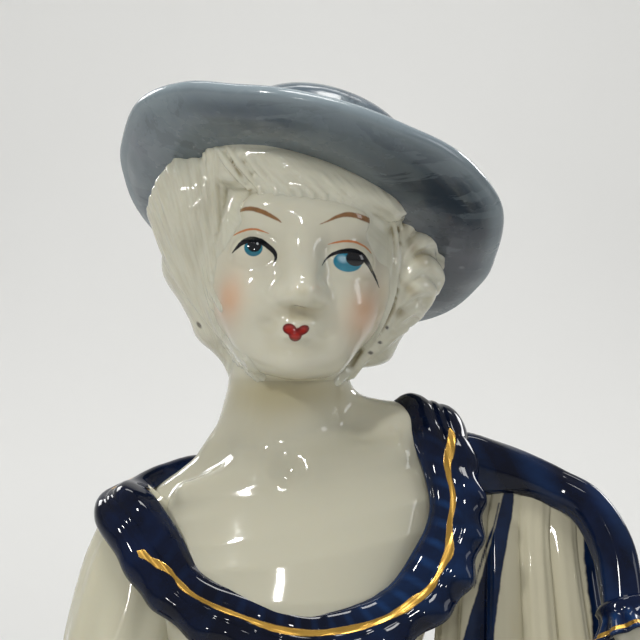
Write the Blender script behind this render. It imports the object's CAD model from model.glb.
"""Looks of the porcelain lady figurine. Modelled in millimetres, turned into metres when a mesh is made."""

import math

import bmesh
import bpy
import numpy as np
import openvdb
from mathutils import Matrix, Vector


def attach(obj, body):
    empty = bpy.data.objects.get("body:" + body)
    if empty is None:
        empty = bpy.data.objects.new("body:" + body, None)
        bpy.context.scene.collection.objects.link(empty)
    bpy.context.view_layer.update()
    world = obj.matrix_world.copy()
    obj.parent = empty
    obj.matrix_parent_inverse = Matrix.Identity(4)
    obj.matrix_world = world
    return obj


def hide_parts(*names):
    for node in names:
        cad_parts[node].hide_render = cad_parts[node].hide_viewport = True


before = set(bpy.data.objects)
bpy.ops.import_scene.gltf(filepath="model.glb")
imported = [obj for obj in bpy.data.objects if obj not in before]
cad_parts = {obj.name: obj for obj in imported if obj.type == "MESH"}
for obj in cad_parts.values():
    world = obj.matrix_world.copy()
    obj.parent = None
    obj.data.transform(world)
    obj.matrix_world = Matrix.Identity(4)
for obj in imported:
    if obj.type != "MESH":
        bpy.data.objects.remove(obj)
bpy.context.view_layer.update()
rng = np.random.default_rng(7)
F = np.float32

# ------------------------------------------------------------------------------------------------ camera plane
CAM = np.array([2.85, -188.0, 183.2])
MM_PX = 0.1141 / 176.0


def to_px(p):
    """Where points (N,3) in mm land in the 640 x 640 picture."""
    d = p[:, 1] - CAM[1]
    s = MM_PX * d
    return np.stack([320 + (p[:, 0] - CAM[0]) / s, 320 - (p[:, 2] - CAM[2]) / s], 1)


def at_px(x, y, depth):
    """The point in mm seen at picture place (x, y) whose Y is depth."""
    s = MM_PX * (depth - CAM[1])
    return np.array([CAM[0] + (x - 320) * s, depth, CAM[2] - (y - 320) * s])


# ------------------------------------------------------------------------------------------------ frames
def rot(axis, deg):
    return np.array(Matrix.Rotation(math.radians(deg), 3, axis))


HEAD_C = np.array([0.4, -2.0, 189.5])
HEAD_R = rot("Z", 2.0) @ rot("Y", 5.0) @ rot("X", -3.0)
HAT_C = np.array([1.0, 0.0, 197.0])
HAT_R = rot("Y", 17.0) @ rot("X", -26.0)


def head_pt(p):
    """Head frame point to the row frame."""
    return HEAD_R @ np.asarray(p, float) + HEAD_C


def to_head(p):
    return (np.asarray(p, float) - HEAD_C) @ HEAD_R


# ------------------------------------------------------------------------------------------------ distance fields
def smin(a, b, k):
    """Smooth union with blend length k."""
    h = np.clip(0.5 + 0.5 * (b - a) / k, 0, 1)
    return b + (a - b) * h - k * h * (1 - h)


def smax(a, b, k):
    return -smin(-a, -b, k)


def ell(P, c, r, R=None):
    """Ellipsoid field, close to a distance near its surface. R's columns are its axes."""
    q = [P[i] - F(c[i]) for i in range(3)]
    if R is not None:
        q = [sum(q[j] * F(R[j][i]) for j in range(3)) for i in range(3)]
    k0 = np.sqrt(sum((q[i] / F(r[i])) ** 2 for i in range(3))) + F(1e-6)
    k1 = np.sqrt(sum((q[i] / F(r[i] ** 2)) ** 2 for i in range(3))) + F(1e-6)
    return k0 * (k0 - 1) / k1


def cone(P, a, b, ra, rb):
    """Rounded cone from a to b."""
    a, b = np.asarray(a, float), np.asarray(b, float)
    d = b - a
    L = float(d @ d)
    q = [P[i] - F(a[i]) for i in range(3)]
    t = np.clip((q[0] * F(d[0]) + q[1] * F(d[1]) + q[2] * F(d[2])) / F(L), 0, 1)
    dist = np.sqrt(sum((q[i] - t * F(d[i])) ** 2 for i in range(3)))
    return dist - (F(ra) + t * F(rb - ra))


def spline(pts, n):
    """n rows of a Catmull-Rom curve through rows of pts."""
    pts = np.asarray(pts, float)
    m = len(pts) - 1
    ext = np.vstack([2 * pts[0] - pts[1], pts, 2 * pts[-1] - pts[-2]])
    t = np.linspace(0, m, n)
    k = np.minimum(t.astype(int), m - 1)
    f = (t - k)[:, None]
    p0, p1, p2, p3 = ext[k], ext[k + 1], ext[k + 2], ext[k + 3]
    return 0.5 * (2 * p1 + (p2 - p0) * f + (2 * p0 - 5 * p1 + 4 * p2 - p3) * f**2 + (3 * p1 - p0 - 3 * p2 + p3) * f**3)


class Grid:
    """A sampled field over a box, in a frame of its own."""

    def __init__(self, lo, hi, voxel):
        self.lo, self.v = np.asarray(lo, float), voxel
        self.n = [int(math.ceil((h - l) / voxel)) + 1 for l, h in zip(lo, hi)]
        ax = [(self.lo[i] + voxel * np.arange(self.n[i])).astype(F) for i in range(3)]
        self.P = [ax[0][:, None, None], ax[1][None, :, None], ax[2][None, None, :]]
        self.ax = ax
        self.f = None

    def full(self, v=50.0):
        return np.full(self.n, v, F)

    def near(self, lo, hi, pad):
        """Index slices of the sub-box from lo to hi, grown by pad."""
        out = []
        for i in range(3):
            a = max(0, int((lo[i] - pad - self.lo[i]) / self.v))
            b = min(self.n[i], int((hi[i] + pad - self.lo[i]) / self.v) + 2)
            out.append(slice(a, max(a + 1, b)))
        return tuple(out)

    def sub(self, s):
        return [self.ax[0][s[0]][:, None, None], self.ax[1][s[1]][None, :, None], self.ax[2][s[2]][None, None, :]]

    def tube(self, field, path, k, squash=None):
        """Adds a swept rounded strand: path rows are x, y, z, radius. Works in place, only near the strand."""
        path = np.asarray(path, float)
        for a, b in zip(path[:-1], path[1:]):
            r = max(a[3], b[3])
            s = self.near(np.minimum(a[:3], b[:3]), np.maximum(a[:3], b[:3]), r + k + self.v * 2)
            P = self.sub(s)
            field[s] = np.minimum(field[s], cone(P, a[:3], b[:3], a[3], b[3]))
        return field

    def mesh(self, f):
        """Vertices and quads of the zero level."""
        g = openvdb.FloatGrid()
        g.background = 3.0
        g.copyFromArray(np.clip(f, -3, 3).astype(F))
        pts, tris, quads = g.convertToPolygons(isovalue=0.0, adaptivity=0.0)
        pts = pts.astype(float) * self.v + self.lo
        return pts, quads.astype(int)[:, ::-1]


# ------------------------------------------------------------------------------------------------ meshes
MAT = {}


def outward(verts, faces):
    """Faces turned so that the closed mesh holds a positive volume."""
    by = {}
    for k in ([faces] if isinstance(faces, np.ndarray) else [np.array([f for f in faces if len(f) == m]) for m in {len(f) for f in faces}]):
        by[k.shape[1]] = k
    vol = 0.0
    for m, k in by.items():
        for j in range(1, m - 1):
            vol += float(np.einsum("ij,ij->i", verts[k[:, 0]], np.cross(verts[k[:, j]], verts[k[:, j + 1]])).sum())
    if vol >= 0:
        return faces
    return faces[:, ::-1] if isinstance(faces, np.ndarray) else [tuple(reversed(f)) for f in faces]




def make(name, verts, faces, mat, node=None, attrs=None, smooth=True, weld=False):
    """A mesh piece from mm vertices, riding on the only body."""
    me = bpy.data.meshes.new(name)
    verts = np.asarray(verts, float)
    faces = outward(verts, faces)
    if isinstance(faces, np.ndarray):
        me.vertices.add(len(verts))
        me.vertices.foreach_set("co", (verts / 1000.0).astype(F).ravel())
        n, m = faces.shape
        me.loops.add(n * m)
        me.loops.foreach_set("vertex_index", faces.astype(np.int32).ravel())
        me.polygons.add(n)
        me.polygons.foreach_set("loop_start", np.arange(0, n * m, m, dtype=np.int32))
        me.polygons.foreach_set("loop_total", np.full(n, m, np.int32))
        me.update(calc_edges=True)
    else:
        me.from_pydata((verts / 1000.0).tolist(), [], [list(f) for f in faces])
        me.update()
    me.validate()
    for k, v in (attrs or {}).items():
        v = np.asarray(v, F)
        if v.ndim == 1:
            a = me.attributes.new(k, "FLOAT", "POINT")
            a.data.foreach_set("value", v)
        else:
            a = me.attributes.new(k, "FLOAT_VECTOR", "POINT")
            a.data.foreach_set("vector", v.ravel())
    me.polygons.foreach_set("use_smooth", np.full(len(me.polygons), smooth))
    ob = bpy.data.objects.new(name, me)
    bpy.context.scene.collection.objects.link(ob)
    me.materials.append(MAT[mat])
    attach(ob, "root")
    if node:
        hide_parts(*([node] if isinstance(node, str) else node))
    return ob


def grid_faces(n, m, close_n=False, close_m=False):
    """Quads of an n by m grid of vertices."""
    i = np.arange(n if close_n else n - 1)
    j = np.arange(m if close_m else m - 1)
    I, J = np.meshgrid(i, j, indexing="ij")
    I2, J2 = (I + 1) % n, (J + 1) % m
    return np.stack([I * m + J, I2 * m + J, I2 * m + J2, I * m + J2], -1).reshape(-1, 4)


# ------------------------------------------------------------------------------------------------ brush strokes
def brush(px, path, n=80):
    """Signed distance to a painted stroke and its half width there, both in picture units.
    path rows are x, y, half width. Past the ends the half width turns negative."""
    c = spline(path, n)
    seg_a, seg_b = c[:-1, :2], c[1:, :2]
    hw = c[:, 2]
    out_d = np.full(len(px), 99.0)
    out_w = np.full(len(px), -99.0)
    lo, hi = c[:, :2].min(0) - 12, c[:, :2].max(0) + 12
    near = np.where(((px > lo) & (px < hi)).all(1))[0]
    best = np.full(len(near), 1e9)
    side = np.zeros(len(near))
    width = np.full(len(near), -99.0)
    q = px[near]
    for i in range(len(seg_a)):
        d = seg_b[i] - seg_a[i]
        L = float(np.hypot(*d)) + 1e-9
        t = ((q - seg_a[i]) @ d) / L**2
        tc = np.clip(t, 0, 1)
        v = q - (seg_a[i] + tc[:, None] * d)
        dist = np.hypot(v[:, 0], v[:, 1])
        cross = (d[0] * (q[:, 1] - seg_a[i][1]) - d[1] * (q[:, 0] - seg_a[i][0])) / L
        over = np.zeros(len(q))
        if i == 0:
            over = np.maximum(over, -t * L)
        if i == len(seg_a) - 1:
            over = np.maximum(over, (t - 1) * L)
        m = dist < best
        best[m] = dist[m]
        side[m] = cross[m]
        width[m] = (hw[i] + (hw[i + 1] - hw[i]) * tc[m]) - over[m]
    out_d[near] = side
    out_w[near] = width
    return out_d, out_w


# ------------------------------------------------------------------------------------------------ node helpers
class Nodes:
    """Short hand for building a node tree."""

    def __init__(self, name):
        self.m = bpy.data.materials.new(name)
        self.m.use_nodes = True
        self.t = self.m.node_tree
        self.t.nodes.clear()
        self.out = self.t.nodes.new("ShaderNodeOutputMaterial")
        MAT[name] = self.m

    def new(self, kind, **props):
        n = self.t.nodes.new(kind)
        for k, v in props.items():
            setattr(n, k, v)
        return n

    def link(self, a, b):
        self.t.links.new(a, b)

    def put(self, sock, v):
        if hasattr(v, "is_output") or isinstance(v, bpy.types.NodeSocket):
            self.link(v, sock)
        elif v is not None:
            if sock.type == "RGBA" and len(v) == 3:
                v = (*v, 1.0)
            sock.default_value = v

    def math(self, op, a, b=None, c=None, clamp=False):
        n = self.new("ShaderNodeMath", operation=op, use_clamp=clamp)
        for s, v in zip(n.inputs, (a, b, c)):
            self.put(s, v)
        return n.outputs[0]

    def mix(self, fac, a, b, blend="MIX"):
        n = self.new("ShaderNodeMix", data_type="RGBA", blend_type=blend)
        self.put(n.inputs[0], fac)
        self.put(n.inputs[6], a)
        self.put(n.inputs[7], b)
        return n.outputs[2]

    def mixf(self, fac, a, b):
        n = self.new("ShaderNodeMix", data_type="FLOAT")
        self.put(n.inputs[0], fac)
        self.put(n.inputs[2], a)
        self.put(n.inputs[3], b)
        return n.outputs[0]

    def step(self, v, lo, hi, smooth=True):
        """0 below lo, 1 above hi."""
        n = self.new("ShaderNodeMapRange", interpolation_type="SMOOTHSTEP" if smooth else "LINEAR", clamp=True)
        self.put(n.inputs[0], v)
        self.put(n.inputs[1], lo)
        self.put(n.inputs[2], hi)
        n.inputs[3].default_value = 0.0
        n.inputs[4].default_value = 1.0
        return n.outputs[0]

    def ramp(self, fac, stops, mode="LINEAR"):
        n = self.new("ShaderNodeValToRGB")
        n.color_ramp.interpolation = mode
        while len(n.color_ramp.elements) < len(stops):
            n.color_ramp.elements.new(0.5)
        for e, (p, c) in zip(n.color_ramp.elements, stops):
            e.position = p
            e.color = (*c, 1.0) if len(c) == 3 else c
        self.put(n.inputs[0], fac)
        return n.outputs[0]

    def attr(self, name, out="Fac"):
        n = self.new("ShaderNodeAttribute", attribute_name=name)
        return n.outputs[out]

    def split(self, v):
        n = self.new("ShaderNodeSeparateXYZ")
        self.put(n.inputs[0], v)
        return n.outputs

    def coord(self, scale=(1, 1, 1), loc=(0, 0, 0)):
        tc = self.new("ShaderNodeTexCoord")
        mp = self.new("ShaderNodeMapping")
        mp.inputs["Scale"].default_value = scale
        mp.inputs["Location"].default_value = loc
        self.link(tc.outputs["Object"], mp.inputs["Vector"])
        return mp.outputs[0]

    def noise(self, scale, detail=3.0, rough=0.5, vec=None, dist=0.0, out=0):
        n = self.new("ShaderNodeTexNoise")
        n.inputs["Scale"].default_value = scale
        n.inputs["Detail"].default_value = detail
        n.inputs["Roughness"].default_value = rough
        n.inputs["Distortion"].default_value = dist
        self.put(n.inputs["Vector"], vec if vec is not None else self.coord())
        return n.outputs[out]

    def voronoi(self, scale, vec=None, feature="F1", rand=1.0, out="Distance"):
        n = self.new("ShaderNodeTexVoronoi", feature=feature)
        n.inputs["Scale"].default_value = scale
        n.inputs["Randomness"].default_value = rand
        self.put(n.inputs["Vector"], vec if vec is not None else self.coord())
        return n.outputs[out]

    def bump(self, h, strength, dist, normal=None):
        n = self.new("ShaderNodeBump")
        n.inputs["Strength"].default_value = strength
        n.inputs["Distance"].default_value = dist
        self.put(n.inputs["Height"], h)
        if normal is not None:
            self.link(normal, n.inputs["Normal"])
        return n.outputs[0]

    def glaze(self, colour, rough=0.09, normal=None, sss=0.0, radius=(1.0, 0.75, 0.5), metal=0.0, coat=1.0,
              coat_rough=0.03, ior=1.5, coat_normal=None, sss_scale=0.0018):
        p = self.new("ShaderNodeBsdfPrincipled")
        self.put(p.inputs["Base Color"], colour)
        self.put(p.inputs["Roughness"], rough)
        self.put(p.inputs["Metallic"], metal)
        self.put(p.inputs["Coat Weight"], coat)
        self.put(p.inputs["Coat Roughness"], coat_rough)
        self.put(p.inputs["Subsurface Weight"], sss)
        p.inputs["Subsurface Radius"].default_value = radius
        p.inputs["Subsurface Scale"].default_value = sss_scale
        p.inputs["IOR"].default_value = ior
        if normal is not None:
            self.link(normal, p.inputs["Normal"])
        if coat_normal is not None:
            self.link(coat_normal, p.inputs["Coat Normal"])
        self.link(p.outputs[0], self.out.inputs[0])
        return p


# ------------------------------------------------------------------------------------------------ materials
def paint_mask(N, name, soft=0.55, d="X", w="Y"):
    """1 inside the stroke whose distance and half width the attribute holds."""
    s = N.split(N.attr(name, "Vector"))
    inside = N.math("SUBTRACT", s["Y"], N.math("ABSOLUTE", s["X"]))
    wob = N.math("MULTIPLY", N.math("SUBTRACT", N.noise(1500, 2, 0.6), 0.5), 0.9)
    return N.step(N.math("ADD", inside, wob), -soft, soft)


def body_tints(N, base, deep, cav="cav"):
    """Fired clay under clear glaze: faint clouds, warmer where the glaze pools, tiny iron specks."""
    cloud = N.noise(90, 4, 0.55)
    c = N.mix(N.step(cloud, 0.35, 0.7), base, tuple(x * 0.965 for x in base))
    c = N.mix(N.math("MULTIPLY", N.step(N.attr(cav), 0.05, 1.0), 0.85), c, deep)
    speck = N.voronoi(420, feature="F1")
    keep = N.step(N.noise(160, 1, 0.5), 0.66, 0.72)
    c = N.mix(N.math("MULTIPLY", N.math("MULTIPLY", N.math("SUBTRACT", 1.0, N.step(speck, 0.02, 0.06)), keep), 0.6), c, (0.13, 0.10, 0.07))
    return c


def glaze_waves(N, strength=0.10):
    """The slow unevenness of a dipped glaze and the fine skin of it."""
    slow = N.noise(210, 2, 0.4)
    fine = N.noise(900, 2, 0.5)
    b = N.bump(slow, strength, 0.0007)
    return N.bump(fine, strength * 0.35, 0.00012, b)


IVORY = (0.62, 0.595, 0.455)
IVORY_DEEP = (0.36, 0.32, 0.18)

N = Nodes("porcelain")
c = body_tints(N, IVORY, IVORY_DEEP)
n = glaze_waves(N, 0.10)
N.glaze(c, rough=0.10, normal=n, sss=0.22, coat=0.35, coat_rough=0.03, coat_normal=n)

N = Nodes("hair")
c = body_tints(N, (0.715, 0.70, 0.575), (0.40, 0.35, 0.225))
pit = N.math("MULTIPLY", N.step(N.attr("pit"), 0.25, 0.8), 0.9)
c = N.mix(pit, c, (0.035, 0.03, 0.03))
combed = N.noise(1.0, 3, 0.6, vec=N.attr("grain", "Vector"))
c = N.mix(N.math("MULTIPLY", N.math("MULTIPLY", N.step(combed, 0.58, 0.36), N.attr("comb")), 0.22), c, (0.47, 0.42, 0.29))
n = glaze_waves(N, 0.08)
n = N.bump(N.math("MULTIPLY", combed, N.attr("comb")), 0.30, 0.00032, n)
N.glaze(c, rough=0.07, normal=n, sss=0.20, coat=0.6, coat_rough=0.02, coat_normal=n)

N = Nodes("skin")
c = body_tints(N, (0.725, 0.70, 0.57), (0.45, 0.395, 0.235))
c = N.mix(N.math("MULTIPLY", N.attr("tone"), 0.9), c, (0.565, 0.545, 0.43))
blush_n = N.noise(260, 3, 0.6)
c = N.mix(N.math("MULTIPLY", N.attr("blush"), N.mixf(blush_n, 0.65, 1.0)), c, (0.72, 0.40, 0.235))
c = N.mix(N.math("MULTIPLY", N.attr("shade"), 0.5), c, (0.36, 0.25, 0.19))
c = N.mix(N.math("MULTIPLY", N.attr("lash_wash"), 0.55), c, (0.33, 0.25, 0.22))
orange = N.mix(N.noise(700, 2, 0.5), (0.50, 0.13, 0.025), (0.66, 0.24, 0.06))
for s in ("lid_a", "lid_b"):
    c = N.mix(N.math("MULTIPLY", paint_mask(N, s), 0.92), c, orange)
brow = N.mix(N.noise(1100, 3, 0.7), (0.12, 0.042, 0.008), (0.38, 0.16, 0.035))
for s in ("brow_a", "brow_b"):
    c = N.mix(N.math("MULTIPLY", paint_mask(N, s, 0.8), 0.93), c, brow)
s = N.split(N.attr("eye_a", "Vector"))
blue = N.mix(N.noise(900, 2, 0.5), (0.006, 0.12, 0.19), (0.03, 0.27, 0.37))
c = N.mix(N.step(s["X"], 0.6, -0.6), c, blue)
c = N.mix(N.step(s["Y"], 0.6, -0.6), c, (0.004, 0.006, 0.010))
dot_light = N.step(s["Z"], 0.5, -0.5)
s = N.split(N.attr("eye_b", "Vector"))
blue_b = N.mix(N.noise(800, 2, 0.5), (0.005, 0.13, 0.22), (0.025, 0.29, 0.42))
c = N.mix(N.step(s["X"], 0.6, -0.6), c, blue_b)
c = N.mix(N.math("MULTIPLY", N.step(s["Z"], 1.6, -2.2), 0.75), c, (0.42, 0.60, 0.70))
c = N.mix(N.step(s["Y"], 0.6, -0.6), c, (0.004, 0.005, 0.008))
for s in ("lash_a", "lash_b"):
    c = N.mix(paint_mask(N, s, 0.5), c, (0.004, 0.004, 0.006))
c = N.mix(N.math("MULTIPLY", dot_light, 0.8), c, (0.75, 0.78, 0.78))
s = N.split(N.attr("lips", "Vector"))
red = N.mix(N.step(s["X"], -0.5, -3.2), (0.16, 0.002, 0.001), (0.40, 0.010, 0.003))
c = N.mix(N.step(s["X"], 0.5, -0.5), c, red)
c = N.mix(N.step(s["Y"], 0.8, -0.8), c, (0.10, 0.045, 0.015))
n = glaze_waves(N, 0.09)
lip_bump = N.bump(N.step(s["X"], 0.9, -1.6), 0.35, 0.00012, n)
N.glaze(c, rough=0.08, normal=lip_bump, sss=0.22, coat=0.3, coat_rough=0.025, coat_normal=n)

N = Nodes("skin_plain")
c = body_tints(N, (0.725, 0.70, 0.57), (0.45, 0.395, 0.235))
n = glaze_waves(N, 0.09)
N.glaze(c, rough=0.10, normal=n, sss=0.26, coat=0.35, coat_rough=0.025, coat_normal=n)

N = Nodes("slate")
co = N.coord()
big = N.noise(95, 5, 0.6)
fine = N.noise(620, 4, 0.65)
streak = N.noise(60, 6, 0.7, vec=N.coord(scale=(1, 5, 5)), dist=0.6)
c = N.mix(N.step(big, 0.3, 0.72), (0.080, 0.107, 0.132), (0.150, 0.190, 0.215))
c = N.mix(N.math("MULTIPLY", N.step(streak, 0.45, 0.75), 0.5), c, (0.19, 0.23, 0.255))
c = N.mix(N.math("MULTIPLY", N.step(fine, 0.42, 0.68), 0.28), c, (0.09, 0.12, 0.18))
c = N.mix(N.math("MULTIPLY", N.attr("deep"), 0.85), c, (0.016, 0.026, 0.040))
patch = N.noise(62, 6, 0.62, vec=N.coord(scale=(1.0, 1.6, 2.4)), dist=0.9)
c = N.mix(N.math("MULTIPLY", N.step(patch, 0.515, 0.54), 0.30), c, (0.20, 0.245, 0.27))
c = N.mix(N.math("MULTIPLY", N.step(patch, 0.41, 0.395), 0.42), c, (0.030, 0.042, 0.060))
c = N.mix(N.math("MULTIPLY", N.attr("edge"), 0.62), c, (0.34, 0.41, 0.45))
c = N.mix(N.math("MULTIPLY", N.step(N.noise(45, 3, 0.5), 0.5, 0.75), 0.35), c, (0.21, 0.195, 0.25))
chip = N.math("MULTIPLY", N.step(N.voronoi(300), 0.16, 0.04), N.step(N.noise(75, 2, 0.5), 0.62, 0.7))
c = N.mix(N.math("MULTIPLY", chip, 0.5), c, (0.45, 0.48, 0.52))
n = N.bump(N.noise(160, 4, 0.6), 0.16, 0.0008)
n2 = N.bump(fine, 0.10, 0.00022, n)
r = N.mixf(N.step(big, 0.4, 0.7), 0.14, 0.30)
N.glaze(c, rough=r, normal=n2, sss=0.0, coat=0.35, coat_rough=0.07, coat_normal=n2, ior=1.42)


def cobalt_colour(N):
    """Underglaze blue: nearly black where it lies thick, lighter where it runs off the ridges."""
    w = N.noise(150, 4, 0.6)
    brushy = N.noise(70, 5, 0.65, vec=N.coord(scale=(1, 1, 3)), dist=0.5)
    c = N.mix(N.step(w, 0.35, 0.75), (0.0018, 0.0032, 0.0115), (0.0035, 0.010, 0.040))
    lit = N.math("MULTIPLY", N.attr("ridge"), N.mixf(N.step(brushy, 0.35, 0.65), 0.45, 1.0))
    return N.mix(lit, c, (0.011, 0.052, 0.175))


def gold_into(N, c, mask):
    """Mixes fired bright gold over a colour; returns colour, metallic, roughness, height."""
    rub = N.noise(420, 4, 0.65)
    gold = N.mix(rub, (0.62, 0.33, 0.055), (0.90, 0.56, 0.14))
    worn = N.step(N.noise(1300, 3, 0.7), 0.70, 0.78)
    mask = N.math("MULTIPLY", mask, N.math("SUBTRACT", 1.0, N.math("MULTIPLY", worn, 0.7)))
    return N.mix(mask, c, gold), mask, N.mixf(mask, 0.045, N.mixf(rub, 0.22, 0.40)), mask


N = Nodes("cobalt")
n = glaze_waves(N, 0.05)
N.glaze(cobalt_colour(N), rough=0.045, normal=n, coat=0.0, ior=1.37)

for name, strokes in (("cobalt_gold", ("gold",)),):
    N = Nodes(name)
    n = glaze_waves(N, 0.05)
    s = N.split(N.attr("gold", "Vector"))
    inside = N.math("SUBTRACT", s["Y"], N.math("ABSOLUTE", s["X"]))
    wob = N.math("MULTIPLY", N.math("SUBTRACT", N.noise(700, 2, 0.6), 0.5), 1.6)
    mask = N.step(N.math("ADD", inside, wob), -0.45, 0.45)
    c, m, r, h = gold_into(N, cobalt_colour(N), mask)
    nb = N.bump(h, 0.5, 0.00010, n)
    N.glaze(c, rough=r, metal=m, normal=nb, coat=0.0, ior=1.37)

N = Nodes("striped")
c = body_tints(N, (0.555, 0.52, 0.385), IVORY_DEEP)
s = N.split(N.attr("stripe", "Vector"))
m = N.math("MAXIMUM", N.step(N.math("ADD", s["X"], N.math("MULTIPLY", N.math("SUBTRACT", N.noise(500, 3, 0.6), 0.5), 0.35)), -0.10, 0.12), 0.0)
c = N.mix(m, c, cobalt_colour(N))
mask = N.step(s["Y"], -0.05, 0.05)
c, g, r, h = gold_into(N, c, mask)
n = glaze_waves(N, 0.11)
nb = N.bump(h, 0.5, 0.00010, n)
N.glaze(c, rough=r, metal=g, normal=nb, sss=0.0, coat=0.0, ior=1.48)

# the skirt cloth: painted sprigs and a scalloped border, laid out from the angle and the height
N = Nodes("sprigged")
c = body_tints(N, IVORY, IVORY_DEEP)
xyz = N.split(N.coord(scale=(1000, 1000, 1000)))
ang = N.math("ARCTAN2", xyz["Y"], xyz["X"])
zz = xyz["Z"]
wob = N.math("MULTIPLY", N.math("SUBTRACT", N.noise(500, 3, 0.6), 0.5), 0.30)
row = N.math("ROUND", N.math("DIVIDE", N.math("SUBTRACT", zz, 39.5), 9.0))
zrow = N.math("ADD", N.math("MULTIPLY", row, 9.0), 39.5)
rrow = N.math("SUBTRACT", 41.6, N.math("MULTIPLY", zrow, 0.187))
count = N.math("ROUND", N.math("MULTIPLY", rrow, 2 * math.pi / 11.0))
turn_ = N.math("ADD", N.math("DIVIDE", N.math("MULTIPLY", ang, count), 2 * math.pi), N.math("MULTIPLY", N.math("MODULO", row, 2.0), 0.5))
du = N.math("MULTIPLY", N.math("SUBTRACT", turn_, N.math("ROUND", turn_)), N.math("DIVIDE", N.math("MULTIPLY", rrow, 2 * math.pi), count))
dv = N.math("SUBTRACT", zz, zrow)


def spot(ox, oz, rx, rz):
    a_ = N.math("DIVIDE", N.math("SUBTRACT", du, ox), rx)
    b_ = N.math("DIVIDE", N.math("SUBTRACT", dv, oz), rz)
    return N.math("MULTIPLY", N.math("SUBTRACT", 1.0, N.math("SQRT", N.math("ADD", N.math("MULTIPLY", a_, a_), N.math("MULTIPLY", b_, b_)))), min(rx, rz))


best = None
for k in ((0.0, 1.15, 0.46, 0.66), (-1.0, 0.30, 0.60, 0.42), (1.0, 0.30, 0.60, 0.42), (-0.55, -1.25, 0.50, 0.26), (0.62, -1.75, 0.50, 0.26), (0.0, -1.2, 0.13, 1.3)):
    q = spot(*k)
    best = q if best is None else N.math("MAXIMUM", best, q)
inside_rows = N.math("MULTIPLY", N.math("GREATER_THAN", zz, 35.2), N.math("LESS_THAN", zz, 122.0))
m = N.math("MULTIPLY", N.step(N.math("ADD", best, N.math("MULTIPLY", wob, 0.6)), -0.07, 0.09), inside_rows)
wave_ = N.math("ADD", N.math("MULTIPLY", N.math("ABSOLUTE", N.math("SINE", N.math("MULTIPLY", ang, 23.0))), 1.7), 28.6)
band_ = N.math("SUBTRACT", N.math("ADD", wave_, wob), zz)
m = N.math("MAXIMUM", m, N.step(band_, -0.08, 0.08))
c = N.mix(m, c, cobalt_colour(N))
line = N.math("SUBTRACT", 0.26, N.math("ABSOLUTE", N.math("SUBTRACT", N.math("ADD", wave_, 1.1), zz)))
eye_ = spot(0.0, 0.30, 0.30, 0.30)
mask = N.math("MAXIMUM", N.step(N.math("ADD", line, N.math("MULTIPLY", wob, 0.5)), -0.07, 0.07), N.math("MULTIPLY", N.step(eye_, -0.05, 0.05), inside_rows))
mask = N.math("MULTIPLY", mask, N.step(N.attr("outside"), 0.4, 0.6))
c, g, r, h = gold_into(N, c, mask)
n = glaze_waves(N, 0.11)
nb = N.bump(h, 0.5, 0.00010, n)
N.glaze(c, rough=r, metal=g, normal=nb, sss=0.0, coat=0.0, ior=1.48)

N = Nodes("bisque_foot")
c = body_tints(N, (0.66, 0.60, 0.50), (0.42, 0.36, 0.28))
n = N.bump(N.noise(2600, 4, 0.7), 0.4, 0.00006)
N.glaze(c, rough=0.75, normal=n, coat=0.0)


# ------------------------------------------------------------------------------------------------ head, neck, bust
def neck_field(P):
    """Neck and chest in the row frame: stacked ellipses leaned towards her right."""
    X, Y, Z = P
    neck = cone(P, (-1.6, 1.2, 168.0), (-0.4, 0.6, 184.0), 7.4, 7.2)
    w = np.clip((Z - 149) / 9, 0, 1) * np.clip((178 - Z) / 6, 0, 1)
    w = w * w * (3 - 2 * w)
    zs = Z - (X - F(-0.5)) * F(math.tan(math.radians(11))) * w
    z0 = np.array([140, 146, 151, 155.5, 159, 162, 164.6, 166.6, 168.2, 169.6], float)
    rx = np.interp(zs, z0, [14.2, 16.2, 17.4, 18.6, 18.9, 18.0, 15.4, 11.4, 7.4, 3.0]).astype(F)
    ry = np.interp(zs, z0, [10.8, 12.2, 12.3, 11.6, 10.6, 9.6, 8.7, 7.6, 5.6, 2.6]).astype(F)
    cy = np.interp(zs, z0, [-0.9, -1.2, -1.2, -1.0, -0.7, -0.2, 0.3, 0.8, 1.0, 1.0]).astype(F)
    q = np.sqrt(((X + F(0.5)) / rx) ** 2 + ((Y - cy) / ry) ** 2) + F(1e-5)
    chest = (q - 1) * np.minimum(rx, ry) * F(0.92)
    chest = np.maximum(chest, F(140.0) - Z)
    f = smin(chest, neck, F(4.6))
    # shoulders that run up into the neck
    for path in (((-6.0, 1.4, 171.2, 2.6), (-8.8, 1.3, 166.4, 2.4), (-12.6, 1.1, 162.2, 2.5), (-17.6, 0.8, 158.6, 3.9)),
                 ((6.0, 1.4, 171.4, 3.0), (9.4, 1.2, 169.6, 3.2), (12.6, 0.9, 168.4, 4.2), (17.5, 0.6, 164.4, 4.4))):
        for a, b in zip(path[:-1], path[1:]):
            f = smin(f, cone(P, a[:3], b[:3], a[3], b[3]), F(2.4))
    # collar bones and the hollow between them
    for s in (-1, 1):
        bone = cone(P, (s * 2.0 - 1.0, -5.2, 165.0 + s * 0.5), (s * 12.5 - 0.6, -4.4, 165.2 + s * 2.3), 0.9, 0.7)
        f = smin(f, bone, F(3.2))
    notch = ell(P, (-1.2, -8.6, 166.4), (1.3, 1.3, 1.6))
    return smax(f, -notch, F(2.6))


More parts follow.
